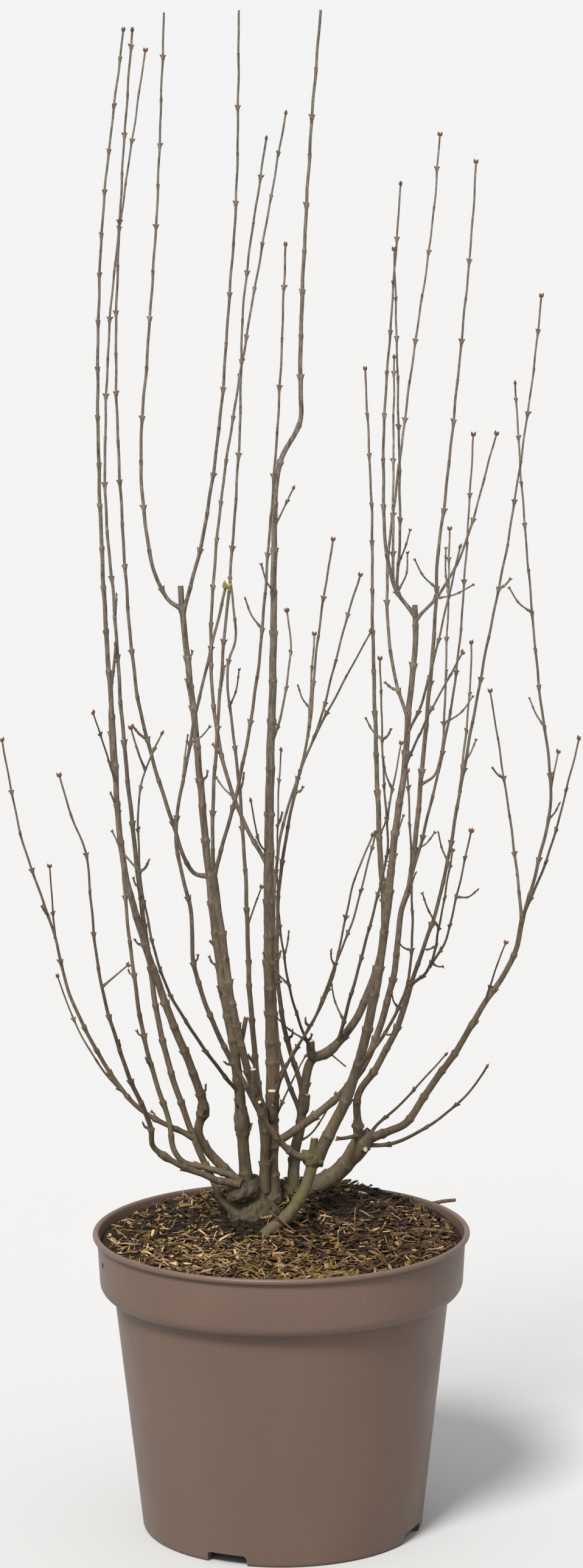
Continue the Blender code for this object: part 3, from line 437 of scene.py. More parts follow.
def evenly(curve, step):
    """The same curve with points at equal distances, close to the step."""
    lengths = [0.0]
    for a, b in zip(curve, curve[1:]):
        lengths.append(lengths[-1] + (b - a).length)
    count = max(2, round(lengths[-1] / step))
    points = []
    k = 0
    for i in range(count + 1):
        goal = lengths[-1] * i / count
        while k < len(curve) - 2 and lengths[k + 1] < goal:
            k += 1
        share = (goal - lengths[k]) / max(lengths[k + 1] - lengths[k], 1e-9)
        points.append(curve[k].lerp(curve[k + 1], share))
    return points


def path_length(points):
    return sum((b - a).length for a, b in zip(points, points[1:]))


def share_at_height(path, height):
    """How far along the path it first reaches the height, from 0 to 1."""
    for i, (a, b) in enumerate(zip(path, path[1:])):
        if b.z >= height:
            part = (height - a.z) / max(b.z - a.z, 1e-9)
            return (i + min(max(part, 0.0), 1.0)) / (len(path) - 1)
    return 1.0


def point_at(path, share):
    place = min(max(share, 0.0), 1.0) * (len(path) - 1)
    k = min(int(place), len(path) - 2)
    return path[k].lerp(path[k + 1], place - k)


def limb_path(name, paths):
    """The limb's centre line, as evenly spaced points."""
    if name in paths:
        return paths[name]
    row = LIMBS[name]
    if isinstance(row.foot, tuple):
        foot = Vector(row.foot) * MM
    else:
        parent = limb_path(row.parent, paths)
        foot = point_at(parent, share_at_height(parent, row.foot * MM))
    bends = [Vector((foot.x, foot.z))] + [Vector(bend) * MM for bend in row.bends]
    rise = bends[-1].y - foot.z
    points = []
    for bend in bends:
        share = min(max((bend.y - foot.z) / rise, 0.0), 1.0)
        eased = 1 - (1 - share) ** DEPTH_EASE
        points.append(Vector((bend.x, foot.y + (row.depth * MM - foot.y) * eased, bend.y)))
    paths[name] = evenly(smooth_curve(points), PATH_STEP)
    return paths[name]


def radius_at(row, share):
    foot, tip = row.girth
    return (tip + (foot - tip) * (1 - share) ** TAPER_EASE) * MM


def split_share(row, path):
    return 1.0 if row.split is None else share_at_height(path, row.split * MM)


def arc(centre, radius, start, end, steps):
    points = []
    for i in range(steps + 1):
        angle = math.radians(start + (end - start) * i / steps)
        points.append((centre[0] + radius * math.cos(angle), centre[1] + radius * math.sin(angle)))
    return points


def inner_wall(clearance):
    """The pot's inside from its floor to just under the lip, (radius, height) points."""
    slope = (BODY_TOP_RADIUS - BODY_FOOT_RADIUS) / (BAND_FOOT_HEIGHT - FOOT_CORNER)
    floor_top = FLOOR_HEIGHT + FLOOR_THICKNESS
    foot_radius = BODY_FOOT_RADIUS + slope * (floor_top - FOOT_CORNER) - WALL
    rounding = (BAND_FOOT_RADIUS - BAND_ROUNDING, BAND_FOOT_HEIGHT + BAND_ROUNDING)
    shoulder = arc(rounding, BAND_ROUNDING - WALL, -70, 0, 3)
    points = [(foot_radius, floor_top), (BODY_TOP_RADIUS - WALL, BAND_FOOT_HEIGHT)]
    points += shoulder
    points.append((BAND_TOP_RADIUS - WALL, POT_HEIGHT - 2.5 * LIP_BEAD))
    return [(radius - clearance, height + clearance) for radius, height in points]


def soil_height(x, y):
    """The filling's surface: a soft mound round the root crown."""
    away = (x - MOUND_CENTRE[0]) ** 2 + (y - MOUND_CENTRE[1]) ** 2
    return SOIL_EDGE + MOUND_HEIGHT * math.exp(-away / (2 * MOUND_SPREAD ** 2))


def is_bough(name):
    return LIMBS[name].split is not None or name == "trunk_right"


def mass_of(name, paths):
    """The limb whose mass of twigs this limb is fused with, or None for a bough's foot."""
    row = LIMBS[name]
    if row.parent not in LIMBS:
        return None
    if not is_bough(row.parent):
        return mass_of(row.parent, paths) or row.parent
    if LIMBS[row.parent].split is not None and row.foot >= LIMBS[row.parent].split:
        return row.parent
    return None


def limb_clearance_tree(paths):
    """Points along every limb, each with its limb's name and its radius there."""
    places = []
    for name, path in paths.items():
        last = len(path) - 1
        for i, point in enumerate(path):
            places.append((point, name, radius_at(LIMBS[name], i / last)))
    tree = kdtree.KDTree(len(places))
    for i, place in enumerate(places):
        tree.insert(place[0], i)
    tree.balance()
    return tree, places


def is_clear(points, own, tree, places):
    """Whether a twig keeps off every other limb and inside the crown's reach."""
    for point in points:
        if not REACH_LIMITS[0] < point.x < REACH_LIMITS[1] or point.z > TOP_LIMIT:
            return False
        for _, index, distance in tree.find_range(point, NEAR_LIMBS):
            _, name, radius = places[index]
            if name != own and distance < radius + TWIG_CLEARANCE:
                return False
    return True


Line = namedtuple("Line", "centre side up ahead along")
Node = namedtuple("Node", "along outs twigs")


class Surface:
    """Vertices and faces of one piece, gathered from many parts."""

    def __init__(self):
        self.points = []
        self.faces = []
        self.count = 0

    def add(self, points, faces):
        points = np.asarray(points, float).reshape(-1, 3)
        self.points.append(points)
        self.faces.extend([i + self.count for i in face] for face in faces)
        self.count += len(points)

    def add_rings(self, rings):
        """A closed skin over a row of rings."""
        rings = np.asarray(rings, float)
        self.add(rings, ring_faces(rings.shape[0], rings.shape[1]))


@lru_cache(maxsize=None)
def ring_faces(rows, sides):
    faces = [tuple(reversed(range(sides)))]
    for row in range(rows - 1):
        low, high = row * sides, (row + 1) * sides
        for i in range(sides):
            j = (i + 1) % sides
            faces.append((low + i, low + j, high + j, high + i))
    faces.append(tuple(range((rows - 1) * sides, rows * sides)))
    return faces


def add_object(name, mesh, material, nodes):
    mesh.materials.clear()
    mesh.materials.append(material)
    mesh.shade_smooth()
    obj = bpy.data.objects.new(name, mesh)
    bpy.context.scene.collection.objects.link(obj)
    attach(obj, "root")
    if nodes:
        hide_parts(*nodes)
    return obj


def add_piece(name, surface, material, nodes=(), sharp=50):
    """One piece of the object, moved onto the frame and kept inside the part's box."""
    points = np.concatenate(surface.points) + np.array(AXIS)
    points = np.clip(points, np.array(cad_low), np.array(cad_high))
    mesh = bpy.data.meshes.new(name)
    mesh.from_pydata(points.tolist(), [], surface.faces)
    obj = add_object(name, mesh, material, nodes)
    mesh.set_sharp_from_angle(angle=math.radians(sharp))
    return obj


def trace_line(points):
    """Directions at each point of a centre line, turned as little as possible."""
    side = None
    rows = []
    along = 0.0
    for i, point in enumerate(points):
        ahead = (points[min(i + 1, len(points) - 1)] - points[max(i - 1, 0)]).normalized()
        if side is None:
            side = ahead.cross(Vector((0, -1, 0.3))).normalized()
        side = (side - ahead * side.dot(ahead)).normalized()
        if i:
            along += (point - points[i - 1]).length
        rows.append((point, side, ahead.cross(side), ahead, along))
    return Line(*[np.array(column) for column in zip(*rows)])


def ring_angles(sides):
    return 2 * np.pi * (np.arange(sides) + 0.5) / sides


def swept(line, radii):
    """Rings round a line: radii has a row for each ring and a column for each side."""
    angles = ring_angles(radii.shape[1])
    outward = (line.side[:, None, :] * np.cos(angles)[None, :, None]
               + line.up[:, None, :] * np.sin(angles)[None, :, None])
    return line.centre[:, None, :] + outward * radii[:, :, None]


def add_tube(surface, points, girths, sides, step=0.0012, rough=0.0, rng=None):
    """A plain tapering tube through the points, knobbly where rough is above zero."""
    line = trace_line(evenly(smooth_curve(points), step))
    shares = line.along / line.along[-1]
    radii = np.interp(shares, np.linspace(0, 1, len(girths)), girths)[:, None] * np.ones(sides)
    if rough:
        radii *= 1 + rough * ripples(ring_angles(sides), line.along, rng, 900, 2600)
    surface.add_rings(swept(line, radii))
    return line


def ripples(angles, along, rng, slow, quick, count=7):
    """Uneven relief, about -1 to 1: waves that run round and along a limb."""
    total = np.zeros((len(along), len(angles)))
    for _ in range(count):
        turns = rng.choice((1, 2, 3, 4, 5))
        pitch = rng.uniform(slow, quick) * rng.choice((-1, 1))
        phase = rng.uniform(0, 2 * math.pi)
        total += np.sin(turns * angles[None, :] + pitch * along[:, None] + phase)
    return total / math.sqrt(count) * 0.8


def add_bud(surface, base, direction, length, width, sides=6):
    side = direction.orthogonal().normalized()
    up = direction.cross(side)
    angles = ring_angles(sides)
    round_it = np.outer(np.cos(angles), side) + np.outer(np.sin(angles), up)
    rings = [np.array(base + direction * length * run)[None, :] + round_it * width * spread
             for run, spread in BUD_RINGS]
    surface.add_rings(rings)


def add_cut(surface, centre, ahead, radius, sides=14):
    """The cut face of a branch: a low disc with a faint hollow over the pith."""
    side = ahead.orthogonal().normalized()
    up = ahead.cross(side)
    angles = ring_angles(sides)
    round_it = np.outer(np.cos(angles), side) + np.outer(np.sin(angles), up)
    rings = []
    for share, rise in ((0.80, -0.0004), (0.93, 0.00003), (0.84, 0.00012), (0.30, 0.00010), (0.14, 0.00001)):
        rings.append(np.array(centre + ahead * rise)[None, :] + round_it * radius * share)
    surface.add_rings(rings)


def shoot_nodes(name, start, rng, keep, paths, tree, places):
    """A shoot's nodes by the part's rule: how far along, both directions, and any twigs."""
    path = paths[name]
    length = path_length(path)
    along = start * length + FIRST_NODE
    turn = rng.uniform(0, math.pi)
    nodes = []
    while along < length - LAST_NODE:
        share = along / length
        point = point_at(path, share)
        ahead = (point_at(path, share + 0.01) - point_at(path, share - 0.01)).normalized()
        side = ahead.cross(Vector((0, -1, 0.3))).normalized()
        outs, twigs = [], []
        for half in (0, math.pi):
            grows = rng.random() < TWIG_CHANCE and point.z < TWIG_TOP
            reach = rng.uniform(*TWIG_LENGTHS)
            lean = math.radians(rng.uniform(*TWIG_LEAN))
            angle = turn + half
            out = side * math.cos(angle) + ahead.cross(side) * math.sin(angle)
            middle = point + (ahead * math.cos(lean) + out * math.sin(lean)) * reach * 0.5
            lean *= 0.6
            tip = middle + (ahead * math.cos(lean) + out * math.sin(lean)) * reach * 0.5
            clear = grows and is_clear([middle, middle.lerp(tip, 0.5), tip], name, tree, places)
            outs.append(out)
            lives = reach > TWIG_SHORTEST or keep.random() < SPUR_KEPT
            twigs.append([point, middle, tip] if clear and lives else None)
        nodes.append(Node(along, outs, twigs))
        along += INTERNODE * rng.uniform(0.85, 1.15)
        turn += math.pi / 2
    return nodes


def old_nodes(name, end, rng, paths, tree, places):
    """Nodes of the old wood below the shoots, where short rough spurs have stayed."""
    path = paths[name]
    length = path_length(path)
    along = OLD_NODE_STEP * rng.uniform(0.6, 1.2)
    turn = rng.uniform(0, math.pi)
    nodes = []
    while along < end * length - OLD_NODE_STEP / 2:
        share = along / length
        point = point_at(path, share)
        ahead = (point_at(path, share + 0.01) - point_at(path, share - 0.01)).normalized()
        side = ahead.cross(Vector((0, -1, 0.3))).normalized()
        outs, twigs = [], []
        for half in (0, math.pi):
            angle = turn + half
            out = side * math.cos(angle) + ahead.cross(side) * math.sin(angle)
            reach = radius_at(LIMBS[name], share) + rng.uniform(*SPUR_LENGTHS)
            middle = point + (out * 0.9 + ahead * 0.4) * reach * 0.7
            tip = point + (out * 0.8 + ahead * 0.75) * reach
            clear = rng.random() < SPUR_CHANCE and is_clear([tip], name, tree, places)
            outs.append(out)
            twigs.append([point, middle, tip] if clear else None)
        nodes.append(Node(along, outs, twigs))
        along += OLD_NODE_STEP * rng.uniform(0.7, 1.5)
        turn += math.pi / 2
    return nodes


def limb_line(name, paths, nodes, rng):
    """The fine centre line of a limb, with more points where its nodes are."""
    path = paths[name]
    length = path_length(path)
    end = length if name in CUT_TIPS else length - TIP_BUD
    stops = list(np.linspace(0, end, max(4, round(end / RING_STEP) + 1)))
    stops += [node.along + off for node in nodes for off in NODE_RINGS if 0 < node.along + off < end]
    kept = [0.0]
    for stop in sorted(stops)[1:]:
        if stop - kept[-1] > 0.0004:
            kept.append(stop)
    kept[-1] = end
    phases = [rng.uniform(0, 2 * math.pi) for _ in range(4)]
    points = []
    for along in kept:
        ease = min(1.0, along / 0.02, (end - along) / 0.01)
        sway = Vector((math.sin(along * 110 + phases[0]) + math.sin(along * 197 + phases[1]),
                       math.sin(along * 127 + phases[2]) + math.sin(along * 181 + phases[3]), 0))
        points.append(point_at(path, along / length) + sway * WOBBLE * ease)
    return trace_line(points), length


def limb_rings(name, paths, nodes, rng):
    """The limb's rings with flared foot, bark relief, knots, and a cushion under each bud."""
    row = LIMBS[name]
    line, length = limb_line(name, paths, nodes, rng)
    sides = 18 if row.girth[0] > THICK_LIMB else 13 if row.girth[0] > MIDDLING_LIMB else 9
    angles = ring_angles(sides)
    girth = radius_at(row, line.along / length)
    on_crown = row.parent not in LIMBS
    flare, run = CROWN_FLARE if on_crown else FORK_FLARE
    carrier = 0.0 if on_crown else row.girth[0] * MM
    girth = girth * (1 + flare * np.exp(-np.maximum(line.along - carrier, 0) / run))
    old = np.clip((girth - 0.0012) / 0.003, 0, 1)
    ridges = ripples(angles, line.along, rng, 15, 90)
    grain = ripples(angles, line.along, rng, 700, 1900)
    radii = girth[:, None] * (1 + RIDGES * old[:, None] * ridges) + (0.00003 + old * GRAIN)[:, None] * grain
    for limb_name, height, swell, half in BURRS:
        if limb_name == name:
            place = share_at_height(paths[name], height * MM) * length
            near = np.exp(-((line.along - place) / (half * MM)) ** 4)
            knots = 1 + 0.35 * ripples(angles, line.along, rng, 500, 1500)
            radii += near[:, None] * girth[:, None] * swell * knots
    for node in nodes:
        at = int(np.argmin(np.abs(line.along - node.along)))
        past = line.along - node.along
        near = np.where(past < 0, np.exp(np.minimum(past, 0) / NODE_FUNNEL), np.exp(-(past / NODE_DROP) ** 2))
        radii += (near * np.minimum(girth * NODE_SWELL, NODE_MOST))[:, None]
        ledge = np.exp(-((past + 0.0006) / LEDGE_LENGTH) ** 2)
        for out in node.outs:
            facing = (np.cos(angles) * float(line.side[at] @ np.array(out))
                      + np.sin(angles) * float(line.up[at] @ np.array(out)))
            radii += ledge[:, None] * np.clip(facing, 0, 1)[None, :] ** 3 * CUSHION
    return line, swept(line, radii), girth


def add_spur(wood, buds, points, rng, sides=7):
    """A twig with its own nodes, ending in a pair of buds."""
    length = path_length(points)
    short = length < TWIG_SHORTEST
    line = trace_line(evenly(smooth_curve(points), 0.0009))
    girth = np.interp(line.along / line.along[-1], (0, 0.25, 1), (0.00105, 0.00072, 0.00058))
    girth = girth * (1.25 if short else 1.0)
    radii = girth[:, None] * np.ones(sides)
    step = 0.0042 if short else 0.0125
    place = 0.004
    while place < length - 0.003:
        near = np.exp(-((line.along - place) / 0.0011) ** 2)
        radii += near[:, None] * 0.00034
        place += step * rng.uniform(0.8, 1.2)
    radii *= 1 + 0.08 * ripples(ring_angles(sides), line.along, rng, 700, 2200)
    wood.add_rings(swept(line, radii))
    ahead = Vector(line.ahead[-1])
    side = Vector(line.side[-1]) * math.cos(length * 900) + Vector(line.up[-1]) * math.sin(length * 900)
    for way in (1, -1):
        direction = (ahead * 0.85 + side * way * 0.5).normalized()
        base = Vector(line.centre[-1]) - ahead * 0.0006
        add_bud(buds, base, direction, SIDE_BUD[0] * rng.uniform(0.9, 1.15), SIDE_BUD[1] * 0.95)


def add_side_buds(buds, node, line, girth, rng):
    """The two buds of a node, each on its cushion and pressed up along the shoot."""
    at = int(np.argmin(np.abs(line.along - node.along)))
    ahead = Vector(line.ahead[at])
    for out, twig in zip(node.outs, node.twigs):
        if twig:
            continue
        direction = (ahead * 0.70 + out * rng.uniform(0.68, 0.85)).normalized()
        base = Vector(line.centre[at]) + out * girth[at] * 0.88
        size = rng.uniform(0.8, 1.15)
        add_bud(buds, base, direction, SIDE_BUD[0] * size, SIDE_BUD[1] * size)


def add_tip_buds(surface, line, count, size, spread, rng):
    """Terminal buds that end where the limb's own tip is."""
    ahead = Vector(line.ahead[-1])
    turn = rng.uniform(0, math.pi)
    for i in range(count):
        angle = turn + 2 * math.pi * i / count
        side = Vector(line.side[-1]) * math.cos(angle) + Vector(line.up[-1]) * math.sin(angle)
        direction = (ahead + side * spread).normalized()
        base = Vector(line.centre[-1]) - ahead * size[0] * 0.22 + side * size[1] * 0.25
        add_bud(surface, base, direction, size[0] * rng.uniform(0.88, 1.0), size[1], 9)


def finish_tip(name, line, girth, buds, opening, cuts_fresh, rng):
    if name in CUT_TIPS:
        add_cut(cuts_fresh, Vector(line.centre[-1]), Vector(line.ahead[-1]), girth[-1])
    elif name == OPENING_TIP:
        add_tip_buds(opening, line, 3, OPENING_BUD, 0.75, rng)
    elif name in CLUSTER_TIPS:
        add_tip_buds(buds, line, 4, TIP_BUDS, 0.55, rng)
    else:
        add_tip_buds(buds, line, 2, TIP_BUDS, 0.42, rng)


def bud_region(path):
    tip = path[-1]
    return "left" if tip.x < -0.04 else "right" if tip.x > 0.07 else "middle"


def build_limbs(paths, finishes):
    """Every limb with its nodes: old wood, shoots, spurs, buds and cut ends."""
    tree, places = limb_clearance_tree(paths)
    members = {}
    for name in LIMBS:
        owner = mass_of(name, paths)
        if owner is None:
            members.setdefault(name, [])
        else:
            members.setdefault(owner, []).append(name)
    buds = {"left": Surface(), "middle": Surface(), "right": Surface()}
    opening, cuts = Surface(), Surface()
    for owner, shoots in members.items():
        rng = random.Random(TWIG_SEED + sorted(LIMBS).index(owner))
        own = random.Random(owner)
        split = split_share(LIMBS[owner], paths[owner])
        bough, mass = Surface(), Surface()
        for name in [owner] + shoots:
            start = split if name == owner and LIMBS[owner].split is not None else 0.0
            nodes = []
            if name == owner and is_bough(owner):
                nodes += old_nodes(name, split, own, paths, tree, places)
            if name != "trunk_right":
                nodes += shoot_nodes(name, start, rng, own, paths, tree, places)
            line, rings, girth = limb_rings(name, paths, nodes, own)
            region = buds[bud_region(paths[name])]
            cut = len(rings)
            if name == owner and is_bough(owner) and owner != "trunk_right":
                cut = int(np.searchsorted(line.along, split * path_length(paths[name])))
                bough.add_rings(rings[:cut + 1])
                mass.add_rings(rings[cut:])
            elif owner == "trunk_right":
                bough.add_rings(rings)
            else:
                mass.add_rings(rings)
            for node in nodes:
                on_bough = name == owner and is_bough(owner) and node.along < split * path_length(paths[name])
                for twig in filter(None, node.twigs):
                    add_spur(bough if on_bough else mass, region, twig, own)
                add_side_buds(region, node, line, girth, own)
            finish_tip(name, line, girth, region, opening, cuts, own)
        if bough.count:
            add_piece(owner + "_bark", bough, finishes["bark"], [owner])
        if mass.count:
            node_name = owner + "_twigs" if LIMBS[owner].split is not None else owner
            add_piece(owner + "_shoots", mass, finishes["bark"], [node_name])
    for region, surface in buds.items():
        add_piece("buds_" + region, surface, finishes["buds"], sharp=35)
    return opening, cuts


def build_stubs(paths, finishes, opening, cuts):
    """Cut ends of branches, leaf remains, and the one green bud low on the shrub."""
    wood, old_cuts, leaves = Surface(), Surface(), Surface()
    rng = random.Random("stubs")
    for stub in STUBS:
        path = paths[stub.limb]
        share = share_at_height(path, stub.height * MM)
        centre = point_at(path, share)
        turn = math.radians(stub.azimuth)
        flat = Vector((math.sin(turn), -math.cos(turn), 0))
        rise = math.radians(stub.rise)
        off = radius_at(LIMBS[stub.limb], share) + stub.girth * MM * 0.45
        if stub.rise < 60:
            direction = flat * math.cos(rise) + Vector((0, 0, math.sin(rise)))
            points = [centre, centre + direction * off, centre + direction * (off + stub.length * MM)]
        else:
            points = [centre, centre + flat * off * 0.8 + Vector((0, 0, off * 0.9)),
                      centre + flat * (off + math.cos(rise) * stub.length * MM)
                      + Vector((0, 0, math.sin(rise) * stub.length * MM))]
        radius = stub.girth * MM
        line = add_tube(wood, points, (radius * 1.35, radius * 1.05, radius), 12, 0.001, 0.05, rng)
        add_cut(cuts if stub.fresh else old_cuts, Vector(line.centre[-1]), Vector(line.ahead[-1]), radius)
    for limb_name, height, azimuth in LEAF_REMAINS:
        path = paths[limb_name]
        share = share_at_height(path, height * MM)
        turn = math.radians(azimuth)
        flat = Vector((math.sin(turn), -math.cos(turn), 0))
        add_leaf_remains(leaves, point_at(path, share), flat, rng)
    middle = point_at(paths[GREEN_BUD[0]], share_at_height(paths[GREEN_BUD[0]], GREEN_BUD[1] * MM))
    add_bud(opening, middle + Vector((0.001, -0.0098, 0)), Vector((0.1, -0.8, 0.6)).normalized(), 0.0042, 0.0016, 9)
    add_piece("cut_branches", wood, finishes["bark"])
    add_piece("cut_faces_fresh", cuts, finishes["cut_fresh"])
    add_piece("cut_faces_old", old_cuts, finishes["cut_old"])
    add_piece("leaf_remains", leaves, finishes["dead_leaf"])
    add_piece("buds_opening", opening, finishes["buds_opening"], sharp=35)


def add_leaf_remains(surface, place, outward, rng):
    """A dry leaf stalk that has curled up."""
    upward = Vector((0, 0, 1))
    wide = rng.uniform(1.4, 2.0) * MM
    points = [place, place + outward * wide * 0.8]
    centre = place + outward * wide * 1.9
    for i in range(1, 10):
        turn = math.pi + 0.62 * i
        curl = wide * (1.1 - 0.05 * i)
        points.append(centre + outward * curl * math.cos(turn) - upward * curl * math.sin(turn)
                      + upward.cross(outward) * i * 0.00012)
    add_tube(surface, points, (0.00052, 0.00042, 0.00034, 0.00022), 6, 0.0008, 0.15, rng)


def crown_mesh(lumps, low):
    """Lumps of old wood grown together, with a rough skin, cut off level at the bottom."""
    bm = bmesh.new()
    for centre, radii in lumps:
        made = bmesh.ops.create_icosphere(bm, subdivisions=3, radius=1.0)
        for vert in made["verts"]:
            vert.co = Vector((centre[i] + vert.co[i] * radii[i]) * MM for i in range(3))
    raw = bpy.data.meshes.new("raw")
    bm.to_mesh(raw)
    bm.free()
    holder = bpy.data.objects.new("holder", raw)
    bpy.context.scene.collection.objects.link(holder)
    grown = holder.modifiers.new("grown", "REMESH")
    grown.mode = "VOXEL"
    grown.voxel_size = 0.0010
    soft = holder.modifiers.new("soft", "SMOOTH")
    soft.factor = 0.6
    soft.iterations = 10
    graph = bpy.context.evaluated_depsgraph_get()
    mesh = bpy.data.meshes.new_from_object(holder.evaluated_get(graph))
    bpy.data.objects.remove(holder)
    normals = [vert.normal.copy() for vert in mesh.vertices]
    for vert, normal in zip(mesh.vertices, normals):
        place = vert.co
        knobs = noise.fractal(place * 90, 0.8, 2.1, 4)
        grooves = abs(noise.noise(Vector((place.x * 260, place.y * 260, place.z * 70))))
        vert.co = place + normal * (0.0024 * knobs - 0.0016 * grooves)
        vert.co.z = max(vert.co.z, low)
        vert.co += AXIS
    return mesh


def build_crown(finishes):
    lumps = list(CROWN_LUMPS)
    rng = random.Random("crown")
    for _ in range(16):
        (x, y, z), (a, b, c) = rng.choice(CROWN_LUMPS)
        turn = rng.uniform(0, 2 * math.pi)
        size = rng.uniform(3.0, 5.5)
        lumps.append(((x + a * 0.8 * math.cos(turn), y + b * 0.8 * math.sin(turn), z + c * rng.uniform(-0.3, 0.6)),
                      (size, size, size)))
    mesh = crown_mesh(lumps, CROWN_BOTTOM)
    # its finish carries painted shade: the bark's tones made darker for the shadowed crown
    add_object("root_crown_bark", mesh, finishes["crown"], ["root_crown"])


def build_green_stem(finishes, opening, cuts):
    surface = Surface()
    rng = random.Random("green")
    points = [Vector(point) * MM for point in GREEN_PATH]
    line = trace_line(evenly(smooth_curve(points), 0.0012))
    sides = 20
    shares = line.along / line.along[-1]
    girth = (GREEN_GIRTH[0] + (GREEN_GIRTH[1] - GREEN_GIRTH[0]) * shares) * MM
    relief = ripples(ring_angles(sides), line.along, rng, 100, 500) * 0.00016
    relief += ripples(ring_angles(sides), line.along, rng, 900, 2200) * 0.00008
    for place in (0.016, 0.037, 0.052):
        near = np.exp(-((line.along - place) / 0.0026) ** 2)
        relief += near[:, None] * 0.0007
    surface.add_rings(swept(line, girth[:, None] + relief))
    stub = [Vector(point) * MM for point in STUB_PATH]
    line = add_tube(surface, stub, (STUB_GIRTH[0] * MM * 1.3, STUB_GIRTH[0] * MM, STUB_GIRTH[1] * MM), 14, 0.001, 0.05, rng)
    add_cut(cuts, Vector(line.centre[-1]), Vector(line.ahead[-1]), STUB_GIRTH[1] * MM)
    add_piece("green_stem_bark", surface, finishes["mossy"], ["green_stem"])
    knots = [KNUCKLE]
    for _ in range(9):
        turn = rng.uniform(0, 2 * math.pi)
        lift = rng.uniform(-6, 6)
        size = rng.uniform(1.8, 3.2)
        centre, radii = KNUCKLE
        knots.append(((centre[0] + radii[0] * 0.82 * math.cos(turn), centre[1] + radii[1] * 0.82 * math.sin(turn),
                       centre[2] + lift), (size, size, size)))
    add_object("knuckle_bark", crown_mesh(knots, 0.0), finishes["mossy"], [])


def surface_height(x, y):
    """The filling's top with its crumbs: the mound, heaps of humus, hollows and lumps."""
    rough = noise.fractal(Vector((x, y, 0)) * 70, 0.9, 2.0, 4)
    height = soil_height(x, y) + SURFACE_RELIEF * rough
    for (cx, cy), size, rise in HEAPS:
        away = ((x - cx * MM) ** 2 + (y - cy * MM) ** 2) / (size * MM) ** 2
        height += rise * MM * math.exp(-away / 2)
    return height


def build_soil(finishes):
    surface = Surface()
    sides, top_rings = 128, 46
    wall = [point for point in inner_wall(GAP) if point[1] < SOIL_EDGE - GAP]
    angles = 2 * np.pi * np.arange(sides) / sides
    rings = [[(radius * math.cos(a), radius * math.sin(a), height) for a in angles] for radius, height in wall]
    edge = BAND_TOP_RADIUS - WALL - 2 * GAP - (BAND_TOP_RADIUS - BAND_FOOT_RADIUS) * 0.5
    for i in range(top_rings + 1):
        radius = edge + (0.001 - edge) * i / top_rings
        ring = []
        for a in angles:
            x, y = radius * math.cos(a), radius * math.sin(a)
            ring.append((x, y, surface_height(x, y)))
        rings.append(ring)
    surface.add_rings(rings)
    add_piece("soil_body", surface, finishes["soil"], ["soil"])


def litter_place(rng, keep_off, home=(0, 0), reach=1000):
    """A seeded place on the mix: more often near its home, less often where bare soil shows."""
    edge = BAND_FOOT_RADIUS - WALL - 0.004
    while True:
        radius = edge * math.sqrt(rng.random())
        turn = rng.uniform(0, 2 * math.pi)
        x, y = radius * math.cos(turn), radius * math.sin(turn)
        bare = 0.0
        for (cx, cy), size in DARK_PATCHES:
            away = math.hypot(x - cx * MM, y - cy * MM) / (size * MM)
            bare = max(bare, 1 - away ** 2 / 1.6)
        far = math.hypot(x / MM - home[0], y / MM - home[1]) / reach
        wanted = max(0.22, math.exp(-far ** 2))
        if keep_off:
            wanted *= 1 - bare * 1.15
        if rng.random() < wanted:
            return x, y


def add_chip(surface, rng, lengths, widths, place):
    """A splinter of bark or wood: a bent, tapered flake that lies on the mix."""
    x, y = place
    length = (lengths[0] + (lengths[1] - lengths[0]) * rng.random() ** 2) * MM
    width = min((widths[0] + (widths[1] - widths[0]) * rng.random() ** 1.6) * MM, length * 0.6)
    thick = rng.uniform(0.25, 0.85) * MM
    turn = rng.uniform(0, 2 * math.pi)
    pitch = rng.gauss(0, 0.27)
    roll = rng.gauss(0, 0.45)
    bend = rng.gauss(0, 0.05) * length
    turned = (Matrix.Rotation(turn, 3, "Z") @ Matrix.Rotation(pitch, 3, "Y") @ Matrix.Rotation(roll, 3, "X"))
    z = surface_height(x, y) + rng.uniform(0.0001, 0.0030)
    ends = (rng.uniform(0.15, 0.8), rng.uniform(0.1, 0.7))
    rings = []
    for share, wide in ((-0.5, ends[0]), (-0.15, 1.0), (0.2, rng.uniform(0.75, 1.0)), (0.5, ends[1])):
        lift = bend * (0.25 - share ** 2) * 4
        skew = rng.uniform(-0.15, 0.15) * width
        half, deep = width * wide / 2, thick * (0.5 + 0.5 * wide) / 2
        corners = ((half + skew, deep), (-half + skew, deep), (-half + skew, -deep), (half + skew, -deep))
        rings.append([turned @ Vector((share * length, side, rise + lift)) + Vector((x, y, z))
                      for side, rise in corners])
    reach = max(math.hypot(point.x, point.y) for ring in rings for point in ring)
    if reach < BAND_FOOT_RADIUS - WALL - GAP:
        surface.add_rings(rings)


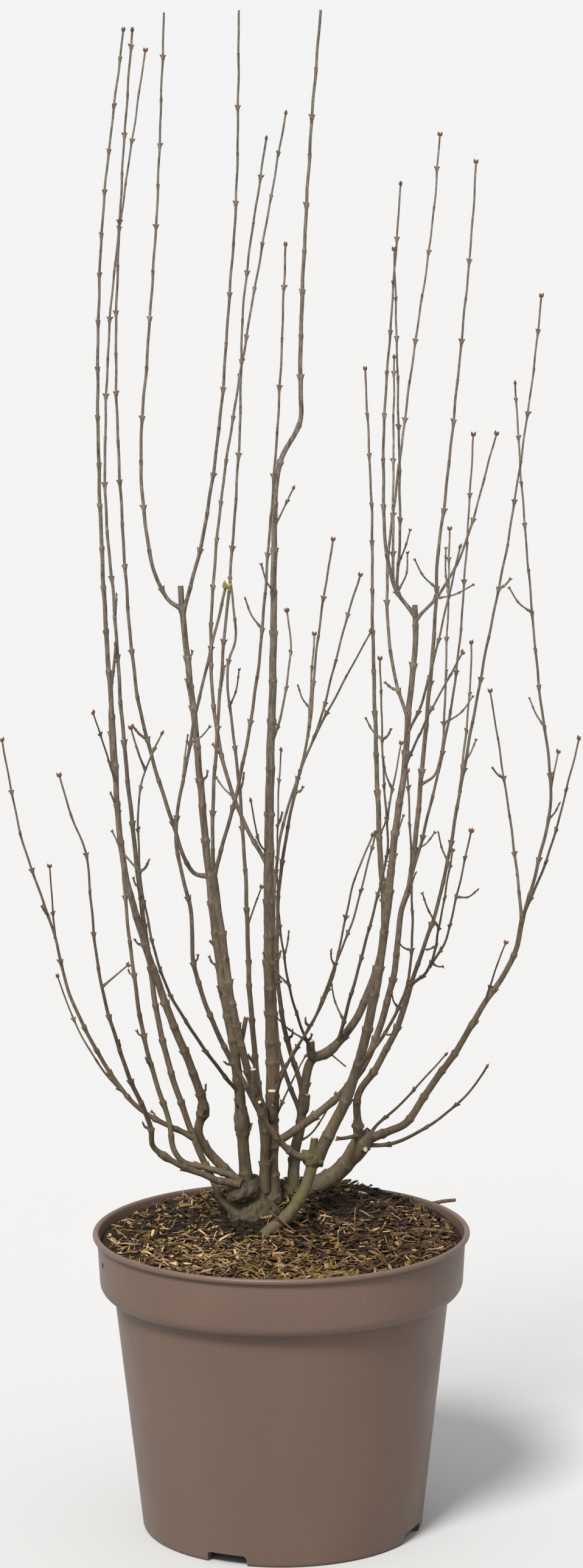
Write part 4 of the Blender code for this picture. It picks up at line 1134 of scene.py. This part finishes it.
def build_litter(finishes):
    """Mulch, fibres, crumbs and sticks on the potting mix."""
    rng = random.Random("litter")
    for name, (count, lengths, widths, home, reach, _) in CHIP_KINDS.items():
        surface = Surface()
        for _ in range(count):
            add_chip(surface, rng, lengths, widths, litter_place(rng, name != "mulch_dark", home, reach))
        add_piece(name, surface, finishes[name], sharp=30)
    fibres = Surface()
    for _ in range(FIBRE_COUNT):
        x, y = litter_place(rng, True)
        turn = rng.uniform(0, 2 * math.pi)
        run = rng.uniform(5, 16) * MM
        points = []
        for i in range(4):
            px = x + math.cos(turn) * run * (i - 1.5) / 3
            py = y + math.sin(turn) * run * (i - 1.5) / 3
            if math.hypot(px, py) > BAND_FOOT_RADIUS - 2 * WALL:
                break
            points.append(Vector((px, py, surface_height(px, py) + rng.uniform(0.0008, 0.0035))))
            turn += rng.uniform(-0.3, 0.3)
        if len(points) == 4:
            girth = rng.uniform(0.16, 0.32) * MM
            add_tube(fibres, points, (girth, girth, girth * 0.5), 4, 0.002)
    for _ in range(STALK_COUNT):
        x, y = litter_place(rng, True)
        base = Vector((x, y, surface_height(x, y) - 0.001))
        lean = Vector((rng.uniform(-0.6, 0.6), rng.uniform(-0.6, 0.6), 1)) * rng.uniform(5, 11) * MM
        if math.hypot(x + lean.x, y + lean.y) < BAND_FOOT_RADIUS - 2 * WALL:
            add_tube(fibres, [base, base + lean * 0.5, base + lean], (0.0003, 0.0002), 4, 0.002)
    add_piece("mulch_fibres", fibres, finishes["mulch_straw"])
    clods = Surface()
    bm = bmesh.new()
    bmesh.ops.create_icosphere(bm, subdivisions=1, radius=1.0)
    ball = [vert.co.copy() for vert in bm.verts]
    faces = [[vert.index for vert in face.verts] for face in bm.faces]
    bm.free()
    for _ in range(CLOD_COUNT):
        x, y = litter_place(rng, False)
        size = rng.uniform(0.8, 3.2) * MM
        flat = rng.uniform(0.5, 0.9)
        centre = Vector((x, y, surface_height(x, y)))
        points = []
        for corner in ball:
            bulge = size * (1 + 0.35 * noise.noise(corner * 1.7 + centre * 900))
            points.append(centre + Vector((corner.x * bulge, corner.y * bulge, corner.z * bulge * flat)))
        if math.hypot(x, y) + size * 1.4 < BAND_FOOT_RADIUS - WALL:
            clods.add(points, faces)
    add_piece("soil_crumbs", clods, finishes["soil"], sharp=80)
    sticks = Surface()
    for route, girths in LOOSE_STICKS:
        points = [Vector(point) * MM for point in route]
        add_tube(sticks, points, [girth * MM for girth in girths], 9, 0.0012, 0.10, rng)
    add_piece("loose_sticks", sticks, finishes["stick"])


def pot_cutters():
    cutters = []
    for i in range(NOTCH_COUNT):
        turn = NOTCH_TURN + 2 * math.pi * i / NOTCH_COUNT
        outward = Vector((math.cos(turn), math.sin(turn), 0))
        across = Vector((-outward.y, outward.x, 0)) * NOTCH_WIDTH / 2
        near = outward * (BODY_FOOT_RADIUS - 2 * FOOT_RING_WIDTH)
        far = outward * (BODY_FOOT_RADIUS + FOOT_RING_WIDTH)
        rings = []
        for start in (near, far):
            shape = [(-1, -NOTCH_HEIGHT), (1, -NOTCH_HEIGHT)]
            shape += [(0.82 + 0.18 * math.cos(a), NOTCH_HEIGHT * (0.6 + 0.4 * math.sin(a)))
                      for a in np.linspace(0, math.pi / 2, 5)]
            shape += [(-0.82 - 0.18 * math.cos(a), NOTCH_HEIGHT * (0.6 + 0.4 * math.sin(a)))
                      for a in np.linspace(math.pi / 2, 0, 5)]
            rings.append([start + across * side + Vector((0, 0, height)) for side, height in shape])
        cutters.append(rings)
        between = turn + math.pi / NOTCH_COUNT
        place = Vector((math.cos(between), math.sin(between), 0)) * DRAIN_HOLE_CIRCLE
        angles = np.linspace(0, 2 * math.pi, 24, endpoint=False)
        cutters.append([[place + Vector((DRAIN_HOLE_RADIUS * math.cos(a), DRAIN_HOLE_RADIUS * math.sin(a), height))
                         for a in angles] for height in (0.0, 2 * FLOOR_HEIGHT)])
    return cutters


def loose_object(name, surface):
    mesh = bpy.data.meshes.new(name)
    mesh.from_pydata((np.concatenate(surface.points) + np.array(AXIS)).tolist(), [], surface.faces)
    obj = bpy.data.objects.new(name, mesh)
    bpy.context.scene.collection.objects.link(obj)
    return obj


def fine_profile():
    """The pot's section with every rounding, from under its floor round to its inside."""
    ring_inside = BODY_FOOT_RADIUS - FOOT_RING_WIDTH
    rounding = (BAND_FOOT_RADIUS - BAND_ROUNDING, BAND_FOOT_HEIGHT + BAND_ROUNDING)
    bead = (LIP_RADIUS - LIP_BEAD, POT_HEIGHT - LIP_BEAD)
    corner = (BODY_FOOT_RADIUS - FOOT_CORNER, FOOT_CORNER)
    points = [(ring_inside, FLOOR_HEIGHT), (ring_inside, 0.0004), (ring_inside + 0.0004, 0.0)]
    points += arc(corner, FOOT_CORNER, -90, 0, 6)
    points += [(BODY_TOP_RADIUS - 0.0004, BAND_FOOT_HEIGHT - 0.003), (BODY_TOP_RADIUS, BAND_FOOT_HEIGHT)]
    points += arc(rounding, BAND_ROUNDING, -90, 0, 10)
    points += [(BAND_TOP_RADIUS, POT_HEIGHT - 3.0 * LIP_BEAD),
               (BAND_TOP_RADIUS - 0.0003, POT_HEIGHT - 2.4 * LIP_BEAD)]
    points += arc(bead, LIP_BEAD, -75, 180, 14)
    points += list(reversed(inner_wall(0.0)))
    return points


def build_pot(finishes):
    sides = 160
    surface = Surface()
    angles = 2 * np.pi * np.arange(sides) / sides
    surface.add_rings([[(radius * math.cos(a), radius * math.sin(a), height) for a in angles]
                       for radius, height in fine_profile()])
    pot = loose_object("pot_raw", surface)
    group = bpy.data.collections.new("cutters")
    for rings in pot_cutters():
        cutter = Surface()
        cutter.add_rings([[tuple(point) for point in ring] for ring in rings])
        obj = loose_object("cutter", cutter)
        fix = bmesh.new()
        fix.from_mesh(obj.data)
        bmesh.ops.recalc_face_normals(fix, faces=fix.faces)
        fix.to_mesh(obj.data)
        fix.free()
        group.objects.link(obj)
    cut = pot.modifiers.new("cut", "BOOLEAN")
    cut.operation = "DIFFERENCE"
    cut.operand_type = "COLLECTION"
    cut.collection = group
    cut.solver = "EXACT"
    graph = bpy.context.evaluated_depsgraph_get()
    mesh = bpy.data.meshes.new_from_object(pot.evaluated_get(graph))
    for obj in list(group.objects) + [pot]:
        bpy.data.objects.remove(obj)
    bpy.data.collections.remove(group)
    add_object("pot_shell", mesh, finishes["pot"], ["pot"])
    mesh.set_sharp_from_angle(angle=math.radians(32))
    mark = Surface()
    turn, height = BAND_MARK
    outward = Vector((math.cos(turn), math.sin(turn), 0))
    across = Vector((-outward.y, outward.x, 0))
    place = outward * (BAND_TOP_RADIUS - 0.0002) + Vector((0, 0, height))
    route = [place - across * 0.0012 + Vector((0, 0, 0.0022)), place + outward * 0.0002,
             place + across * 0.0012 - Vector((0, 0, 0.002))]
    add_tube(mark, route, (0.0001, 0.00045, 0.0001), 6, 0.0005)
    add_piece("band_fleck", mark, finishes["soil"])


class Nodes:
    """A material's node tree with short calls for what every finish here uses."""

    def __init__(self, name):
        self.material = bpy.data.materials.new(name)
        self.material.use_nodes = True
        self.tree = self.material.node_tree
        self.shader = self.tree.nodes["Principled BSDF"]
        self.place = self.tree.nodes.new("ShaderNodeTexCoord").outputs["Object"]

    def link(self, source, target):
        self.tree.links.new(source, target)

    def stretched(self, scale):
        node = self.tree.nodes.new("ShaderNodeMapping")
        node.inputs["Scale"].default_value = scale
        self.link(self.place, node.inputs["Vector"])
        return node.outputs["Vector"]

    def noise(self, scale, detail=3.0, roughness=0.55, stretch=(1, 1, 1)):
        node = self.tree.nodes.new("ShaderNodeTexNoise")
        node.inputs["Scale"].default_value = scale
        node.inputs["Detail"].default_value = detail
        node.inputs["Roughness"].default_value = roughness
        self.link(self.stretched(stretch), node.inputs["Vector"])
        return node.outputs["Fac"]

    def spots(self, scale, size, stretch=(1, 1, 1)):
        """Small round spots: one at their middle, zero between them."""
        node = self.tree.nodes.new("ShaderNodeTexVoronoi")
        node.inputs["Scale"].default_value = scale
        self.link(self.stretched(stretch), node.inputs["Vector"])
        return self.between(node.outputs["Distance"], size, size * 0.5)

    def height(self):
        node = self.tree.nodes.new("ShaderNodeSeparateXYZ")
        self.link(self.place, node.inputs["Vector"])
        return node.outputs["Z"]

    def between(self, value, low, high, to_low=0.0, to_high=1.0):
        node = self.tree.nodes.new("ShaderNodeMapRange")
        node.inputs["From Min"].default_value = low
        node.inputs["From Max"].default_value = high
        node.inputs["To Min"].default_value = to_low
        node.inputs["To Max"].default_value = to_high
        self.link(value, node.inputs["Value"])
        return node.outputs["Result"]

    def times(self, a, b):
        node = self.tree.nodes.new("ShaderNodeMath")
        node.operation = "MULTIPLY"
        self.link(a, node.inputs[0])
        if isinstance(b, float):
            node.inputs[1].default_value = b
        else:
            self.link(b, node.inputs[1])
        return node.outputs["Value"]

    def mix(self, factor, a, b):
        node = self.tree.nodes.new("ShaderNodeMix")
        node.data_type = "RGBA"
        self.link(factor, node.inputs["Factor"])
        for value, socket in ((a, node.inputs[6]), (b, node.inputs[7])):
            if isinstance(value, tuple):
                socket.default_value = (*value, 1)
            else:
                self.link(value, socket)
        return node.outputs[2]

    def bump(self, height, distance, strength=0.5):
        node = self.tree.nodes.new("ShaderNodeBump")
        node.inputs["Distance"].default_value = distance
        node.inputs["Strength"].default_value = strength
        self.link(height, node.inputs["Height"])
        self.link(node.outputs["Normal"], self.shader.inputs["Normal"])

    def done(self, colour, roughness, preview, gloss=0.2):
        self.shader.inputs["Specular IOR Level"].default_value = gloss
        self.link(colour, self.shader.inputs["Base Color"])
        if isinstance(roughness, float):
            self.shader.inputs["Roughness"].default_value = roughness
        else:
            self.link(roughness, self.shader.inputs["Roughness"])
        self.material.diffuse_color = (*preview, 1)
        return self.material


def bark_finish(name, tones, algae_top, algae_low, algae_share):
    """Bark in long streaks with lenticels: dull below, smooth and silvery on the young shoots, whose pale grain is
    painted glints and whose dark streaks are bark streaks and partly painted shade.
    """
    n = Nodes(name)
    dark, middle, light = tones
    broad = n.between(n.noise(45, 3.0, 0.6, (1, 1, 0.35)), 0.32, 0.68)
    streaks = n.between(n.noise(560, 4.0, 0.7, (1, 1, 0.18)), 0.34, 0.66)
    grain = n.between(n.noise(1500, 3.0, 0.7, (1, 1, 0.5)), 0.40, 0.64)
    tone = n.mix(streaks, n.mix(broad, dark, middle), n.mix(broad, middle, light))
    tone = n.mix(n.times(n.spots(620, 0.16), 0.5), tone, dark)
    tone = n.mix(n.times(n.spots(400, 0.12, (1, 1, 0.7)), 0.55), tone, LENTICEL)
    # the young shoots' tone: painted glints in the pale grain, and partly painted shade in the dark streaks
    silvery_with_painted_light = n.mix(streaks, YOUNG_TONES_WITH_PAINTED_LIGHT[0], n.mix(grain, YOUNG_TONES_WITH_PAINTED_LIGHT[1], YOUNG_TONES_WITH_PAINTED_LIGHT[2]))
    tone = n.mix(n.between(n.height(), 0.34, 0.80), tone, silvery_with_painted_light)
    patchy = n.between(n.noise(60, 3.0), 0.40, 0.62)
    green = n.times(n.between(n.height(), algae_low, algae_top, algae_share, 0.0), patchy)
    tone = n.mix(green, tone, ALGAE)
    rough = n.between(n.height(), 0.34, 0.80, 0.74, 0.40)
    n.bump(n.noise(620, 5.0, 0.7, (1, 1, 0.3)), 0.0006, 0.6)
    return n.done(tone, rough, middle, 0.4)


def speckled(name, dark, light, roughness, scale, bump=0.0003):
    """Two tones of one colour in small patches, with a fine grain."""
    n = Nodes(name)
    tone = n.mix(n.between(n.noise(scale, 4.0, 0.6), 0.30, 0.70), dark, light)
    n.bump(n.noise(scale * 4, 4.0, 0.6), bump, 0.5)
    return n.done(tone, roughness, light)


def shades(colour, low, high):
    return tuple(value * low for value in colour), tuple(min(value * high, 1.0) for value in colour)


def pot_finish():
    """Moulded plastic with a film of dust and faint flow marks."""
    n = Nodes("pot plastic")
    dark, light = shades(POT_COLOUR, 0.90, 1.08)
    cloudy = n.between(n.noise(9, 3.0, 0.5, (1, 1, 0.6)), 0.3, 0.7)
    tone = n.mix(cloudy, dark, light)
    dust = n.times(n.between(n.noise(700, 2.0), 0.52, 0.75), 0.05)
    tone = n.mix(dust, tone, (0.36, 0.30, 0.25))
    rough = n.between(n.noise(24, 4.0), 0.3, 0.7, 0.40, 0.52)
    n.bump(n.noise(900, 3.0, 0.6), 0.0002, 0.25)
    return n.done(tone, rough, POT_COLOUR, 0.35)


def soil_finish():
    n = Nodes("potting mix")
    tone = n.mix(n.between(n.noise(240, 5.0, 0.7), 0.35, 0.70), SOIL_DARK, SOIL_LIGHT)
    tone = n.mix(n.times(n.spots(420, 0.20), 0.35), tone, (0.060, 0.036, 0.018))
    n.bump(n.noise(700, 5.0, 0.7), 0.0012, 0.8)
    return n.done(tone, 0.92, SOIL_DARK)


def make_finishes():
    finishes = {
        "bark": bark_finish("bark", BARK_TONES, 0.34, 0.23, 0.35),
        # the crown's darker tones are painted shade, not a different bark
        "crown": bark_finish("crown bark painted shade", CROWN_TONES_PAINTED_SHADE, 0.262, 0.235, 0.75),
        "mossy": bark_finish("mossy bark", BARK_TONES, 0.34, 0.27, 0.95),
        "buds": speckled("bud scales", *shades(BUD_BROWN, 0.55, 1.5), 0.55, 700),
        "buds_opening": speckled("opening buds", *shades(BUD_OPENING, 0.6, 1.3), 0.5, 500),
        "cut_fresh": speckled("fresh cut wood", *shades(CUT_FRESH, 0.75, 1.1), 0.8, 900),
        "cut_old": speckled("old cut wood", *shades(CUT_OLD, 0.55, 1.2), 0.85, 700),
        "dead_leaf": speckled("dead leaf", *shades(DEAD_LEAF, 0.6, 1.5), 0.8, 500),
        "stick": speckled("loose stick", (0.05, 0.031, 0.02), (0.135, 0.082, 0.048), 0.8, 260),
        "soil": soil_finish(),
        "pot": pot_finish(),
    }
    for name, (*_, colour) in CHIP_KINDS.items():
        finishes[name] = speckled(name.replace("_", " "), *shades(colour, 0.40, 1.45), 0.85, 85, 0.0004)
    return finishes


def build_key():
    """The main light: broad and high, from the front and a little to the left."""
    data = bpy.data.lights.new("key", "SUN")
    data.energy = KEY_STRENGTH
    data.angle = KEY_SPREAD
    data.color = (1.0, 0.985, 0.96)
    light = bpy.data.objects.new("key", data)
    light.rotation_euler = (-KEY_FROM).to_track_quat("-Z", "Y").to_euler()
    bpy.context.scene.collection.objects.link(light)


def build_studio():
    """A pale floor out to the horizon, soft light from all round, and a key from the left."""
    floor = bpy.data.meshes.new("floor")
    corners = [(-FLOOR_REACH, -FLOOR_REACH, 0), (FLOOR_REACH, -FLOOR_REACH, 0),
               (FLOOR_REACH, FLOOR_REACH, 0), (-FLOOR_REACH, FLOOR_REACH, 0)]
    floor.from_pydata(corners, [], [(0, 1, 2, 3)])
    n = Nodes("floor")
    tone = n.mix(n.noise(3), FLOOR_COLOUR, tuple(value * 0.985 for value in FLOOR_COLOUR))
    floor.materials.append(n.done(tone, 0.9, FLOOR_COLOUR))
    obj = bpy.data.objects.new("floor", floor)
    bpy.context.scene.collection.objects.link(obj)
    world = bpy.data.worlds.new("studio")
    world.use_nodes = True
    back = world.node_tree.nodes["Background"]
    back.inputs["Color"].default_value = (1.0, 1.0, 1.0, 1)
    back.inputs["Strength"].default_value = WORLD_STRENGTH
    bpy.context.scene.world = world
    build_key()
    bpy.context.scene.view_settings.view_transform = "Standard"


def build_camera():
    data = bpy.data.cameras.new("camera")
    data.sensor_width = SENSOR
    data.lens = CAMERA_LENS
    data.clip_end = 2 * FLOOR_REACH
    camera = bpy.data.objects.new("camera", data)
    camera.matrix_world = (Matrix.Translation(CAMERA_PLACE + AXIS)
                           @ Matrix.Rotation(math.pi / 2 - CAMERA_PITCH, 4, "X")
                           @ Matrix.Rotation(CAMERA_ROLL, 4, "Z"))
    bpy.context.scene.collection.objects.link(camera)
    bpy.context.scene.camera = camera


def build():
    enter_left_limbs()
    enter_middle_limbs()
    enter_right_limbs()
    paths = {}
    for name in LIMBS:
        limb_path(name, paths)
    finishes = make_finishes()
    build_pot(finishes)
    build_soil(finishes)
    build_litter(finishes)
    build_crown(finishes)
    opening, cuts = build_limbs(paths, finishes)
    build_green_stem(finishes, opening, cuts)
    build_stubs(paths, finishes, opening, cuts)
    build_studio()
    build_camera()


build()
